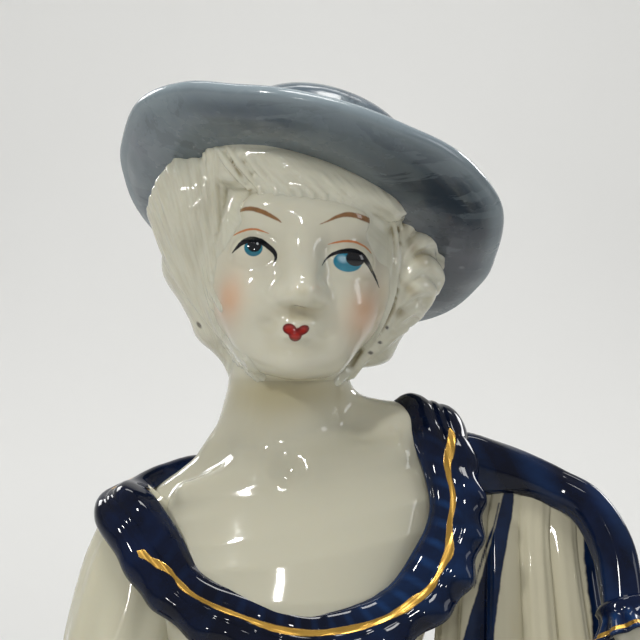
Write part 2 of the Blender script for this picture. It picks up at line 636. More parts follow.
def face_field(P):
    """Head and face in the head frame."""
    X, Y, Z = P
    f = ell(P, (0.0, 1.4, 3.4), (10.7, 11.9, 10.8))
    f = smin(f, ell(P, (0.0, -1.6, -3.4), (9.5, 9.4, 8.8)), F(3.0))
    f = smin(f, ell(P, (0.0, -0.6, -1.4), (11.3, 8.4, 10.4)), F(2.0))
    for s in (-1, 1):
        f = smin(f, ell(P, (s * 4.9, -5.6, -4.6), (4.1, 4.6, 4.4)), F(2.2))   # cheeks
        f = smin(f, ell(P, (s * 3.3, -4.6, -9.6), (3.4, 4.0, 3.4)), F(2.4))   # jaw
    f = smin(f, ell(P, (0.0, -6.4, -10.9), (3.4, 3.6, 2.7)), F(1.8))          # chin
    f = smin(f, ell(P, (0.0, -7.3, -7.5), (3.7, 3.7, 2.7)), F(1.3))           # muzzle
    for s in (-1, 1):
        f = smax(f, -ell(P, (s * 5.3, -12.3, 1.0), (3.4, 2.5, 2.3)), F(1.8))  # orbits
        f = smin(f, ell(P, (s * 5.2, -7.6, 0.7), (3.0, 3.0, 2.1)), F(1.0))    # lids over the eyeball
    f = smin(f, ell(P, (0.0, -8.2, 5.6), (7.2, 2.9, 2.6)), F(2.2))            # brow ridge
    # nose: bridge, ball and wings
    f = smin(f, cone(P, (0.15, -9.5, 3.6), (0.25, -11.3, -2.0), 1.2, 1.75), F(1.9))
    f = smin(f, ell(P, (0.3, -11.7, -3.7), (2.05, 2.4, 1.85)), F(1.0))
    for s in (-1, 1):
        f = smin(f, ell(P, (s * 1.95 + 0.3, -10.6, -4.2), (1.15, 1.6, 1.15)), F(1.2))
    f = smax(f, -ell(P, (0.0, -11.6, -6.4), (0.5, 0.9, 0.8)), F(0.9))         # philtrum
    # lips: two soft cushions, corners tucked in
    f = smin(f, ell(P, (0.1, -10.0, -7.3), (2.0, 1.35, 0.75)), F(0.5))
    f = smin(f, ell(P, (0.1, -9.9, -8.6), (1.6, 1.35, 0.75)), F(0.6))
    for s in (-1, 1):
        f = smax(f, -ell(P, (s * 3.6 + 0.1, -10.6, -7.9), (0.9, 0.9, 0.7)), F(0.9))
    f = smax(f, -ell(P, (0.1, -11.3, -10.0), (2.2, 0.9, 0.5)), F(0.8))        # under the lip
    return f


def sample(f, G, pts):
    """Trilinear sample of a field."""
    q = (np.asarray(pts) - G.lo) / G.v
    n = np.array(f.shape)
    q = np.clip(q, 0, n - 1.001)
    i = q.astype(int)
    t = q - i
    out = np.zeros(len(q))
    for dx in (0, 1):
        for dy in (0, 1):
            for dz in (0, 1):
                w = (t[:, 0] if dx else 1 - t[:, 0]) * (t[:, 1] if dy else 1 - t[:, 1]) * (t[:, 2] if dz else 1 - t[:, 2])
                out += w * f[i[:, 0] + dx, i[:, 1] + dy, i[:, 2] + dz]
    return out


def slope(f, G, pts, e=None):
    e = e or G.v
    g = np.zeros((len(pts), 3))
    for k in range(3):
        d = np.zeros(3)
        d[k] = e
        g[:, k] = sample(f, G, pts + d) - sample(f, G, pts - d)
    return g / (np.linalg.norm(g, axis=1)[:, None] + 1e-9)


def settle(f, G, pts, rounds=2):
    """Moves vertices onto the zero level."""
    for _ in range(rounds):
        v = sample(f, G, pts)
        pts = pts - slope(f, G, pts) * np.clip(v, -G.v, G.v)[:, None] * 0.9
    return pts


def hollowness(f, G, pts, reach):
    """0 on open surface, towards 1 in a crease."""
    n = slope(f, G, pts)
    return np.clip(1 - sample(f, G, pts + n * reach) / reach, 0, 1)


def cut_mesh(ob, co, no):
    """Cuts away what lies on the side of no, and caps the cut."""
    bm = bmesh.new()
    bm.from_mesh(ob.data)
    geom = bm.verts[:] + bm.edges[:] + bm.faces[:]
    r = bmesh.ops.bisect_plane(bm, geom=geom, dist=1e-7, plane_co=Vector(co) / 1000.0, plane_no=Vector(no), clear_outer=True)
    edges = [e for e in r["geom_cut"] if isinstance(e, bmesh.types.BMEdge)]
    bmesh.ops.holes_fill(bm, edges=edges, sides=0)
    rim = [e for e in bm.edges if len(e.link_faces) == 1]
    if rim:
        hub = bm.verts.new(sum((w.co for e in rim for w in e.verts), Vector()) / (2 * len(rim)))
        for e in rim:
            f = e.link_faces[0]
            first, second = e.verts
            order = [w for w in f.verts]
            i = order.index(first)
            if order[(i + 1) % len(order)] is second:
                first, second = second, first
            bm.faces.new((first, second, hub)).smooth = True
    bm.to_mesh(ob.data)
    bm.free()
    ob.data.update()


def carry_normals(ob, f, G):
    """Shades a cut mesh with the slope of the whole field, so that a cut through it doesn't show."""
    me = ob.data
    n = len(me.vertices)
    co = np.empty(n * 3)
    me.vertices.foreach_get("co", co)
    nv = slope(f, G, co.reshape(-1, 3) * 1000.0)
    nl = len(me.loops)
    vi = np.empty(nl, int)
    me.loops.foreach_get("vertex_index", vi)
    out = nv[vi]
    for p in me.polygons:
        if len(p.vertices) > 4:
            out[p.loop_start:p.loop_start + p.loop_total] = p.normal
    me.normals_split_custom_set([tuple(x) for x in out])


def main_part(v, f):
    """Only the largest connected part of a mesh."""
    n = len(v)
    parent = np.arange(n)
    # label propagation over faces
    lab = np.arange(n)
    for _ in range(200):
        m = lab[f].min(1)
        new = lab.copy()
        np.minimum.at(new, f.ravel(), np.repeat(m, f.shape[1]))
        for _ in range(8):
            new = new[new]
        if (new == lab).all():
            break
        lab = new
    ids, cnt = np.unique(lab, return_counts=True)
    keep = lab == ids[cnt.argmax()]
    idx = np.cumsum(keep) - 1
    return v[keep], idx[f[keep[f].all(1)]]


def periodic(deg, vals, a):
    """Periodic cubic curve through (degree, value) pairs."""
    d = np.array(deg, float)
    y = np.array(vals, float)
    d = np.concatenate([d - 360, d, d + 360])
    y = np.concatenate([y, y, y])
    m = np.gradient(y, d)
    k = np.clip(np.searchsorted(d, a) - 1, 0, len(d) - 2)
    h = d[k + 1] - d[k]
    t = (a - d[k]) / h
    return ((2 * t**3 - 3 * t**2 + 1) * y[k] + (t**3 - 2 * t**2 + t) * h * m[k] + (-2 * t**3 + 3 * t**2) * y[k + 1] + (t**3 - t**2) * h * m[k + 1])


DEG = [0, 15, 30, 46, 70, 90, 115, 138, 150, 165, 180, 195, 210, 226, 242, 258, 275, 290, 305, 320, 335, 348]
RAD = [24.2, 25.0, 25.8, 26.0, 25.8, 25.4, 25.2, 25.2, 25.2, 24.6, 24.1, 24.0, 24.1, 24.0, 23.6, 23.6, 23.6, 23.8, 24.0, 24.3, 24.7, 24.4]
HGT = [1.2, .5, -.5, -1.3, -1.6, -1.5, -1.1, -.6, .2, 1.0, 1.4, 1.6, 1.6, 1.2, .5, .3, .7, 1.0, 1.8, 2.2, 2.0, 1.5]


def brim_drop(a_deg):
    """How far the front of the brim dips."""
    return -1.25 * np.clip(0.32 - np.sin(np.radians(a_deg)), 0, 1)


def brim_mid(r, a_deg):
    """Height of the brim's middle surface over the hat's own plane."""
    edge_r = np.interp(np.mod(a_deg, 360), AFINE, RFINE)
    edge_h = np.interp(np.mod(a_deg, 360), AFINE, HFINE)
    s = np.clip((r - 12.0) / (edge_r - 0.8 - 12.0), 0, 1.2)
    return edge_h * s**1.7 - 0.72 * np.sin(math.pi * np.clip(s, 0, 1)) + 0.95 * np.clip(s - 0.74, 0, 1) ** 2 * 8.0


AFINE = np.linspace(0, 360, 361)
RFINE = periodic(DEG, RAD, AFINE)
HFINE = periodic(DEG, HGT, AFINE) + brim_drop(AFINE)


def hat_clip(P):
    """Negative where a part of the head may lie: under the brim, or inside the crown."""
    d = [P[i] - F(HAT_C[i]) for i in range(3)]
    h = [d[0] * F(HAT_R[0][i]) + d[1] * F(HAT_R[1][i]) + d[2] * F(HAT_R[2][i]) for i in range(3)]
    r = np.hypot(h[0], h[1])
    ang = np.degrees(np.arctan2(h[1], h[0]))
    out = h[2] - brim_mid(r, ang).astype(F)
    inside = np.maximum(r - F(11.0), h[2] - F(9.4))
    return np.minimum(out, inside).astype(F)


VOX = 0.235
G = Grid((-22.0, -16.5, 173.0), (21.5, 19.5, 208.0), VOX)


def head_coords(P):
    d = [P[i] - F(HEAD_C[i]) for i in range(3)]
    return [d[0] * F(HEAD_R[0][i]) + d[1] * F(HEAD_R[1][i]) + d[2] * F(HEAD_R[2][i]) for i in range(3)]


hs = G.near((-12.5, -16.5, 173.0), (13.5, 13.5, 206.0), 0)
PH = G.sub(hs)
face = face_field(head_coords(PH))
neck = neck_field(PH)
skin = G.full(6.0)
clip = hat_clip(G.P)
skin[hs] = smin(face, neck, F(1.5))
skin = smax(skin, clip, F(0.3))


# ------------------------------------------------------------------------------------------------ hair
def strand(path, r, lift=0.0, depth=None, over=None, n=24, taper=(0.55, 1.0, 0.45)):
    """A strand from picture places (x, y) with a depth in mm for each; radius swells in the middle."""
    p = np.array([at_px(x, y, d) for (x, y), d in zip(path, depth)])
    c = spline(p, n)
    t = np.linspace(0, 1, n)
    rad = r * np.interp(t, [0, 0.35, 1], taper)
    return np.hstack([c, rad[:, None]])


def lerp(a, b, t):
    return tuple(a[i] + (b[i] - a[i]) * t for i in range(len(a)))


hair_n = G.full(50.0)
P = G.P
# masses under the strands, in the row frame
mass = ell(P, (0.4, 0.6, 192.3), (12.1, 12.4, 10.9))
floor_cut = F(184.5) - P[2] + F(0) * P[0]
mass = smax(mass, np.broadcast_to(floor_cut, mass.shape), F(1.5))
right_mass = smin(smin(cone(P, (-11.3, 0.6, 196.0), (-11.8, -0.2, 190.0), 4.5, 4.4), ell(P, (-10.4, -2.0, 196.6), (6.9, 5.9, 6.8)), F(1.0)), cone(P, (-11.8, -0.2, 190.0), (-9.6, 0.2, 182.7), 4.4, 2.9), F(1.0))
right_mass = smin(right_mass, cone(P, (-9.6, 0.2, 182.7), (-7.2, 0.4, 178.2), 2.9, 1.55), F(0.8))
right_mass = smin(right_mass, cone(P, (-7.2, 0.4, 178.2), (-4.9, -2.0, 177.1), 1.5, 0.5), F(0.8))
left_mass = smin(cone(P, (12.0, 0.4, 198.5), (12.7, 0.4, 188.5), 4.7, 4.4), cone(P, (12.7, 0.4, 188.5), (9.4, 1.0, 180.2), 4.4, 2.5), F(1.0))
left_mass = smin(left_mass, cone(P, (9.4, 1.0, 180.2), (6.4, -0.8, 177.4), 2.5, 0.6), F(1.0))
all_mass = smin(mass, smin(right_mass, left_mass, F(1.0)), F(1.6))
# open the face: everything in front of the hairline and between the side locks is skin
hx = head_coords(P)
window = np.sqrt(((hx[0] + F(0.2)) / F(9.9)) ** 2 + ((hx[2] + F(3.4)) / F(11.3)) ** 2) - 1
window = window * F(9.5)
window = np.where(hx[1] < -3.0, window, F(9.0))
open_mass = smax(all_mass, -window, F(0.9))
pouf_c = HAT_C + HAT_R @ np.array([-0.6, -6.6, -0.6])
pouf = ell(P, tuple(pouf_c), (12.0, 5.2, 4.6), HAT_R)
open_mass = smin(open_mass, pouf, F(1.4))
ground = smin(open_mass, skin, F(1.3))
LAY_Y = np.arange(-15.8, 7.0, 0.2)


def lay(path, r, sink=0.35, n=26, taper=(0.55, 1.0, 0.45), fall=None):
    """A strand laid on the head along picture places: its depth is where the line of sight meets the head."""
    c = spline(np.array(path, float), n)
    sc = MM_PX * (LAY_Y - CAM[1])
    pts = np.stack([CAM[0] + (c[:, 0:1] - 320) * sc, np.broadcast_to(LAY_Y, (n, len(LAY_Y))), CAM[2] - (c[:, 1:2] - 320) * sc], -1)
    val = sample(ground, G, pts.reshape(-1, 3)).reshape(n, -1)
    hit = val < 0.05
    first = np.where(hit.any(1), hit.argmax(1), val.argmin(1))
    y = LAY_Y[first].astype(float)
    for _ in range(4):
        y[1:-1] = (y[:-2] + 2 * y[1:-1] + y[2:]) / 4
    t = np.linspace(0, 1, n)
    rad = r * np.interp(t, [0, 0.35, 1], taper)
    y = y + rad * (2 * sink - 1) * 0.9 + (0 if fall is None else np.interp(t, [0, 0.5, 1], fall))
    p = np.array([at_px(c[i, 0], c[i, 1], y[i]) for i in range(n)])
    return np.hstack([p, rad[:, None]])


# her right side: strands combed back from under the brim towards the jaw
tt_ = [0, 0.12, 0.25, 0.38, 0.52, 0.66, 0.8, 0.9, 1.0]
TOPX, TOPY = [151.5, 154, 159, 167, 178, 190, 203, 214, 226], [214, 199, 186, 174, 163, 153, 146, 142, 140]
ENDX, ENDY = [259, 247, 233, 219, 212, 211, 213, 217, 223], [374, 368, 356, 338, 314, 284, 252, 226, 204]
NS = 26
for i in range(NS):
    t = i / (NS - 1.0)
    x0, y0, x3, y3 = [np.interp(t, tt_, k) for k in (TOPX, TOPY, ENDX, ENDY)]
    bow = 4.5 * (1 - t) + 10.0 * max(0.0, 1 - t / 0.3)
    L = math.hypot(x3 - x0, y3 - y0)
    nx, ny = -(y3 - y0) / L, (x3 - x0) / L
    w = rng.uniform(-1.2, 1.2, 3)
    mid1 = (x0 + (x3 - x0) * 0.33 + nx * bow * 0.9 + w[0], y0 + (y3 - y0) * 0.33 + ny * bow * 0.9)
    mid2 = (x0 + (x3 - x0) * 0.68 + nx * bow * 0.7 + w[1], y0 + (y3 - y0) * 0.68 + ny * bow * 0.7)
    G.tube(hair_n, lay([(x0, y0), mid1, mid2, (x3, y3)], 0.60 + 0.26 * rng.random(), sink=0.30 + 0.16 * rng.random(), taper=(0.9, 1.0, 0.4)), 0.5)
# a few lifted strands over them
for i in range(9):
    t = 0.26 + 0.68 * i / 8.0
    x0, y0, x3, y3 = [np.interp(t, tt_, k) for k in (TOPX, TOPY, ENDX, ENDY)]
    x0, y0 = x0 + (x3 - x0) * 0.1, y0 + (y3 - y0) * 0.1
    x3, y3 = x0 + (x3 - x0) * rng.uniform(0.55, 0.8), y0 + (y3 - y0) * rng.uniform(0.55, 0.8)
    G.tube(hair_n, lay([(x0 + 2, y0), (x0 * 0.5 + x3 * 0.5 + 3 - 5 * (1 - t), y0 * 0.5 + y3 * 0.5), (x3 + 2, y3)], 0.40, sink=-0.25, n=20, taper=(0.4, 1.0, 0.3)), 0.4)

# fringe: broad low strands swept from the parting over to her left
FR = [
    ([(206, 151), (240, 146), (282, 149), (330, 160), (378, 180), (412, 200)], 1.5),
    ([(212, 160), (248, 155), (290, 161), (334, 173), (376, 191), (406, 210)], 1.5),
    ([(220, 168), (254, 166), (294, 169), (334, 178), (370, 192), (402, 211)], 1.35),
    ([(222, 178), (257, 177), (296, 179), (332, 186), (365, 197), (397, 217)], 1.15),
    ([(226, 186), (259, 185), (296, 187), (330, 192), (361, 202), (391, 219)], 0.85),
]
G.tube(open_mass, lay([(176, 166), (188, 158), (203, 152), (224, 150), (246, 151)], 1.3, sink=0.8, n=26, taper=(0.5, 1.0, 0.5)), 1.2)
G.tube(open_mass, lay([(208, 164), (224, 170), (242, 173), (266, 172)], 1.7, sink=0.82, n=26, taper=(0.6, 1.0, 0.6)), 1.0)
for path, r in FR:
    G.tube(hair_n, lay(path, r, sink=0.40, n=34, taper=(0.22, 1.0, 0.5)), 0.8)
# finer combed strands running slantwise across it
for i in range(17):
    t = i / 16.0
    x0 = 214 + 166 * t
    y0 = np.interp(x0, [202, 233, 264, 294, 325, 355, 386], [150, 143, 146, 152, 160, 172, 184]) - 3
    dx = 34 + 22 * math.sin(2.4 * t) + rng.uniform(-3, 3)
    x3 = x0 + dx
    y3 = np.interp(x3, [228, 267, 297, 333, 369, 394, 420], [190, 192, 194, 198, 208, 218, 232]) - 2
    fine = lay([(x0, y0), (x0 + dx * 0.40, y0 + (y3 - y0) * 0.42), (x0 + dx * 0.78, y0 + (y3 - y0) * 0.80), (x3, y3)], 0.42 + 0.12 * rng.random(), sink=0.5, taper=(0.6, 1.0, 0.3),
               fall=(-0.75, -1.0, -0.55))
    G.tube(hair_n, fine, 0.5)

# the raised double strand along her left cheek
for dx, r in ((0.0, 0.40), (7.0, 0.44)):
    path = [(392 + dx * 0.6, 212), (396 + dx, 238), (397 + dx, 265), (393 + dx, 293), (384 + dx, 318), (372 + dx * 0.8, 341), (359 + dx * 0.7, 361), (350 + dx * 0.4, 376)]
    G.tube(hair_n, lay(path, r, sink=0.12, n=40, taper=(0.8, 1.0, 0.8)), 0.5)
for k, (x0, y0) in enumerate(((398, 322), (390, 334), (381, 345), (372, 354))):
    G.tube(hair_n, lay([(x0, y0), (x0 - 16, y0 + 14), (x0 - 34, y0 + 27)], 0.34, sink=0.25, n=16, taper=(0.7, 1.0, 0.5)), 0.4)
for dx in (0.0, 6.0):
    path = [(240 + dx, 360), (247 + dx, 369), (257 + dx * 0.6, 377)]
    G.tube(hair_n, lay(path, 0.30, sink=0.2, n=10, taper=(0.7, 1.0, 0.6)), 0.4)

# her left side: rolled curls, softened by the glaze that pools between them
curl_n = G.full(50.0)
CURLS = [
    ([(398, 206), (406, 198), (416, 193), (427, 196), (432, 204)], 0.95),
    ([(404, 236), (411, 223), (421, 214), (431, 215), (438, 226), (439, 238)], 1.15),
    ([(406, 259), (413, 246), (423, 239), (433, 242), (440, 253), (441, 266)], 1.15),
    ([(405, 282), (413, 269), (422, 263), (432, 267), (439, 278), (438, 290)], 1.10),
    ([(402, 303), (410, 292), (419, 286), (429, 290), (434, 300), (428, 311)], 1.05),
    ([(394, 325), (403, 314), (412, 308), (421, 312), (422, 321)], 0.95),
    ([(382, 344), (392, 335), (403, 328), (412, 328)], 0.8),
]


def within(path):
    """Keep a curl's path inside the outline of that side of the hair."""
    return [(min(x, float(np.interp(y, [190, 217, 254, 284, 312, 329, 345, 360, 378], [424, 432, 441, 441, 422, 406, 389, 371, 348])) - 3), y) for x, y in path]


for path, r in CURLS:
    path = within(path)
    G.tube(curl_n, lay(path, r, sink=0.38, n=30, taper=(0.55, 1.0, 0.7)), 0.6)
    inner = [(x - (x - 400) * 0.10, y + 9.0 - 0.06 * (x - 400)) for x, y in path]
    G.tube(hair_n, lay(within(inner), r * 0.42, sink=0.30, n=24, taper=(0.5, 1.0, 0.6)), 0.5)
    third = [(x + 2, y + 15.0 - 0.10 * (x - 400)) for x, y in path[:4]]
    G.tube(hair_n, lay(within(third), r * 0.34, sink=0.30, n=20, taper=(0.5, 1.0, 0.5)), 0.5)

# back of the head: strands drawn down into the knot at the nape
for i in range(26):
    a = math.radians(-8 + 196 * i / 25.0)
    pts = []
    for h, rr in ((200.5, 0.62), (197.5, 0.86), (193.5, 1.0), (189.0, 0.97), (185.0, 0.80)):
        pull = np.clip((190 - h) / 8, 0, 1) * 0.35
        ang = a + (math.pi / 2 - a) * pull
        pts.append((0.4 + 12.2 * rr * math.cos(ang), 0.6 + 12.6 * rr * math.sin(ang), h + rng.uniform(-0.2, 0.2)))
    c = spline(pts, 22)
    G.tube(hair_n, np.hstack([c, (0.95 * np.interp(np.linspace(0, 1, 22), [0, 0.4, 1], [0.7, 1, 0.6]))[:, None]]), 0.6)

hair_f = smin(smin(open_mass, curl_n, F(0.8)), hair_n, F(0.28))

# knot at the nape
knot = ell(P, (0.8, 12.2, 186.2), (8.0, 5.6, 7.0))
kn = G.full(50.0)
for j in range(5):
    pts = []
    for i in range(30):
        a = 2 * math.pi * i / 29 * 0.92 + j * 0.5
        rr = 0.94 - 0.17 * j
        x, z = 7.6 * rr * math.cos(a), 6.6 * rr * math.sin(a)
        y = 5.4 * math.sqrt(max(0.05, 1 - (x / 8.6) ** 2 - (z / 7.6) ** 2))
        pts.append((0.8 + x, 12.0 + y, 186.2 + z, 1.15 - 0.1 * j))
    G.tube(kn, np.array(pts), 0.6)
knot = smin(knot, kn, F(0.5))
knot = np.maximum(knot, -smin(mass, skin, F(0.1)) + F(0.0) - F(0.4))
knot = smax(knot, clip, F(0.3))

hair_f = smax(hair_f, clip, F(0.3))
blend = smax(smin(hair_f, skin, F(0.85)), clip, F(0.3))


def project_px(v):
    return to_px(v)


def gauss(px, c, s, ang=0.0):
    d = px - np.array(c)
    ca, sa = math.cos(math.radians(ang)), math.sin(math.radians(ang))
    u, v = d[:, 0] * ca + d[:, 1] * sa, -d[:, 0] * sa + d[:, 1] * ca
    return np.exp(-0.5 * ((u / s[0]) ** 2 + (v / s[1]) ** 2))


def disc(px, c, r, ry=None, ang=0.0):
    """Signed distance to a painted spot, roughly, in picture units."""
    d = px - np.array(c)
    ca, sa = math.cos(math.radians(ang)), math.sin(math.radians(ang))
    u, v = (d[:, 0] * ca + d[:, 1] * sa) / r, (-d[:, 0] * sa + d[:, 1] * ca) / (ry or r)
    return (np.hypot(u, v) - 1) * min(r, ry or r)


def neck_shade(px, v):
    """Glaze pooled under the chin and down her neck."""
    m = np.clip((2.0 - v[:, 1]) / 4.0, 0, 1)
    low = np.clip((px[:, 1] - 366) / 14.0, 0, 1)
    return (0.75 * gauss(px, (296, 392), (60, 20)) + 0.34 * gauss(px, (262, 418), (30, 30))) * m * low


def face_shade(px):
    """Where the glaze lies thicker: under the nose, beside the mouth, in the eye corners and at the temples."""
    return (0.42 * gauss(px, (300, 312), (24, 7)) + 0.30 * gauss(px, (270, 331), (8, 12)) + 0.24 * gauss(px, (324, 332), (10, 14)) + 0.25 * gauss(px, (282, 262), (7, 18))
            + 0.30 * gauss(px, (296, 350), (26, 6)) + 0.22 * gauss(px, (228, 240), (12, 30)) + 0.22 * gauss(px, (380, 300), (9, 40)))


# head with its painted face
sk = skin.copy()
v, q = G.mesh(sk)
v, q = main_part(v, q)
v = settle(sk, G, v)
px = to_px(v)
front = v[:, 1] < -3.5
A = {}
all_f = np.minimum(skin, hair_f)
A["cav"] = np.clip(hollowness(all_f, G, v, 0.9) * 1.3 - 0.18, 0, 1) * 0.55 * np.clip((v[:, 2] - 177.5) / 3, 0, 1) + neck_shade(px, v) + face_shade(px) * (v[:, 1] < 0)
bl = 0.85 * gauss(px, (229, 300), (10, 18), 8) + 0.86 * gauss(px, (365, 312), (12, 19), 14)
A["blush"] = np.where(front, np.clip(bl, 0, 1), 0)
sh = 0.5 * gauss(px, (380, 262), (7, 9)) + 0.22 * gauss(px, (300, 312), (17, 4)) + 0.18 * gauss(px, (345, 240), (18, 8)) + 0.14 * gauss(px, (262, 268), (12, 9))
A["shade"] = np.where(front, np.clip(sh, 0, 1), 0)
A["lash_wash"] = np.where(front, 0.35 * gauss(px, (352, 246), (14, 5)) + 0.3 * gauss(px, (255, 236), (12, 4)), 0)


def put(name, path):
    d, w = brush(px, path)
    w = np.where(front, w, -99)
    A[name] = np.stack([d, w, w * 0], 1)


put("brow_a", [(232.6, 214.8, .25), (238, 211.6, 1.2), (246, 209.0, 2.0), (254, 209.2, 2.3), (263, 212.0, 2.3), (272, 216.6, 1.9), (278, 219.8, 1.2), (281.5, 222.6, .3)])
put("brow_b", [(320, 224.3, .2), (328, 221.0, .9), (337, 216.8, 1.7), (346, 214.6, 2.4), (355, 215.4, 2.6), (364, 218.4, 2.7), (372, 222.0, 2.4), (378, 226, 1.3), (383.8, 231, .3)])
put("lid_a", [(232.3, 236, .4), (239, 232.6, .8), (247, 229.8, 1.05), (255, 229.2, 1.05), (262, 231, .8), (269.5, 233.8, .3)])
put("lid_b", [(328, 244.5, .4), (336, 242.4, .9), (346, 241.1, 1.2), (355, 242.0, 1.15), (363, 245.6, .95), (368, 249.4, .8), (371.6, 253.8, .3)])
put("lash_a", [(231.6, 253.6, .2), (237, 247.6, 1.4), (243.5, 242.0, 2.5), (252, 239.6, 3.1), (261, 241.6, 2.9), (269, 247.0, 2.5), (274.8, 253.0, 2.1), (275.6, 258.6, 1.3), (273.6, 265, .4)])
put("lash_b", [(322.0, 265.4, .3), (325.5, 259.8, .8), (330.5, 255.4, 1.4), (337.5, 252.4, 2.0), (346, 251.0, 2.6), (354, 251.8, 3.3), (361.5, 255.8, 3.2), (366.8, 261.8, 2.4), (371, 269.2, 1.6), (375.5, 278.2, .95), (379.3, 288.0, .25)])
far = ~front
hide_a = disc(px, (254.0, 258.6), 21.0, 18.6)
hide_b = disc(px, (348.0, 271.0), 25.0, 19.6)
ea = np.maximum(disc(px, (253.4, 247.6), 9.3, 8.8), hide_a)
eb = np.maximum(disc(px, (347.6, 262.0), 14.4, 9.9, 6), hide_b)
A["eye_a"] = np.stack([np.where(far, 9, ea), np.where(far, 9, np.maximum(disc(px, (254.3, 245.2), 7.2, 6.8), hide_a)), np.where(far, 9, disc(px, (257.4, 243.6), 1.3))], 1)
A["eye_b"] = np.stack([np.where(far, 9, eb), np.where(far, 9, np.maximum(disc(px, (355.4, 258.6), 9.6, 7.6, 8), hide_b)), np.where(far, 9, disc(px, (342.6, 259.0), 5.2, 3.6, 20))], 1)
parts = [disc(px, (289.4, 328.9), 7.3, 5.9, 10), disc(px, (303.0, 330.0), 7.3, 4.9, -28), disc(px, (295.2, 335.9), 6.6, 6.0)]
lips = -np.log(sum(np.exp(-1.1 * np.clip(k, -8, 40)) for k in parts)) / 1.1 + 0.35
notch = disc(px, (298.2, 322.6), 2.7, 5.0)
lips = np.maximum(lips, -notch)
A["lips"] = np.stack([np.where(far, 9, lips), np.where(far, 9, disc(px, (372.6, 220.6), 2.3, 2.0)), px[:, 0] * 0], 1)
head_ob = make("head", v, q, "skin", node=["head"], attrs=A)
cut_mesh(head_ob, (0, 0, 176.0), (0, 0, -1))
carry_normals(head_ob, skin, G)


def grain(p, v):
    """Across and along the combing, in strokes, and how strongly it shows."""
    side = np.degrees(np.arctan2(p[:, 0] - 226.0, np.maximum(374.0 - p[:, 1], 10.0))) / 1.35
    top = (p[:, 1] - 0.9 * p[:, 0]) / 5.0
    back = np.degrees(np.arctan2(v[:, 0] - 0.4, v[:, 1] - 0.6)) / 1.9
    front = v[:, 1] < 3.0
    left = front & (p[:, 0] < 218 + np.clip(p[:, 1] - 150, 0, 60) * 0.15)
    right = front & (p[:, 0] > 388) & (p[:, 1] > 200)
    across = np.where(left, side, np.where(front, top, back))
    along = np.where(left, p[:, 1] / 34.0, np.where(front, p[:, 0] / 60.0, v[:, 2] / 4.5))
    w = np.where(left, 1.0, np.where(right, 0.25, np.where(front, 0.45, 0.9)))
    return np.stack([across, along, np.where(left, 0.0, np.where(front, 20.0, 40.0))], 1), w


def hair_piece(name, own, nodes, extra=0.0):
    """One dressed part of the hair: the blended surface where own is the nearest mass."""
    f = np.maximum(blend, own - F(0.55))
    f = np.maximum(f, -(skin + F(0.7)))
    v, q = G.mesh(f)
    v, q = main_part(v, q)
    v = settle(f, G, v, 1)
    p = to_px(v)
    A = {"cav": np.clip(hollowness(blend, G, v, 0.55) * 1.5 - 0.25, 0, 1) * 0.6 + np.clip(hollowness(blend, G, v, 1.6) * 1.4 - 0.45, 0, 1) * 0.5}
    A["cav"] = np.clip(A["cav"] + (v[:, 1] < 3) * (0.75 * gauss(p, (416, 253), (14, 4.5), 57) + 0.75 * gauss(p, (409, 289), (9, 4.0), 45) + 0.75 * gauss(p, (399, 313), (6, 4.0), 20)
                                            + 0.45 * gauss(p, (404, 226), (9, 3.5), 60) + 0.35 * gauss(p, (430, 262), (10, 3.0), 70)
                                            + 0.35 * gauss(p, (214, 200), (7, 26), 10) + 0.25 * gauss(p, (186, 250), (5, 40), -20)), 0, 1)
    pit = gauss(p, (370.5, 352.8), (2.2, 1.7)) + gauss(p, (380, 342.5), (2.0, 1.4)) + gauss(p, (387.0, 327.5), (1.4, 1.8)) + gauss(p, (199.0, 325.0), (1.5, 3.2), -35)
    A["pit"] = np.where(v[:, 1] < 3, pit, 0)
    A["grain"], A["comb"] = grain(p, v)
    return make(name, v, q, "hair", node=nodes, attrs=A)


hair_ob = hair_piece("hair", hair_f, ["hair_fringe", "hair_back", "hair_right_lock", "hair_left_curls"])
v, q = G.mesh(knot)
v, q = main_part(v, q)
v = settle(knot, G, v, 1)
make("hair_chignon", v, q, "hair", node="hair_chignon",
     attrs={"cav": np.clip(hollowness(knot, G, v, 0.6) * 1.5 - 0.2, 0, 1) * 0.7, "pit": v[:, 0] * 0, "comb": v[:, 0] * 0 + 0.8,
            "grain": np.stack([np.hypot((v[:, 0] - 0.8) / 8.0, (v[:, 2] - 186.2) / 7.0) * 17, np.arctan2(v[:, 0] - 0.8, v[:, 2] - 186.2) * 1.2, v[:, 0] * 0], 1)})


# ------------------------------------------------------------------------------------------------ bust
GB = Grid((-21.5, -15.0, 139.0), (21.5, 12.5, 178.5), 0.30)
bust_f = neck_field(GB.P)
v, q = GB.mesh(bust_f)
v, q = main_part(v, q)
v = settle(bust_f, GB, v)
bust_ob = make("bust", v, q, "skin", node="bust", attrs={
    "cav": np.clip(hollowness(bust_f, GB, v, 1.5) * 1.2 - 0.1, 0, 1) * 0.4 * np.clip((174.5 - v[:, 2]) / 3, 0, 1) + neck_shade(to_px(v), v),
    "tone": np.clip((174.5 - v[:, 2]) / 7.0, 0, 1),
    "blush": v[:, 0] * 0, "shade": v[:, 0] * 0, "lash_wash": v[:, 0] * 0,
    **{k: np.tile([9.0, -99.0, 0], (len(v), 1)) for k in ("brow_a", "brow_b", "lid_a", "lid_b", "lash_a", "lash_b")},
    **{k: np.full((len(v), 3), 9.0) for k in ("eye_a", "eye_b", "lips")}})
cut_mesh(bust_ob, (0, 0, 176.0), (0, 0, 1))
carry_normals(bust_ob, bust_f, GB)

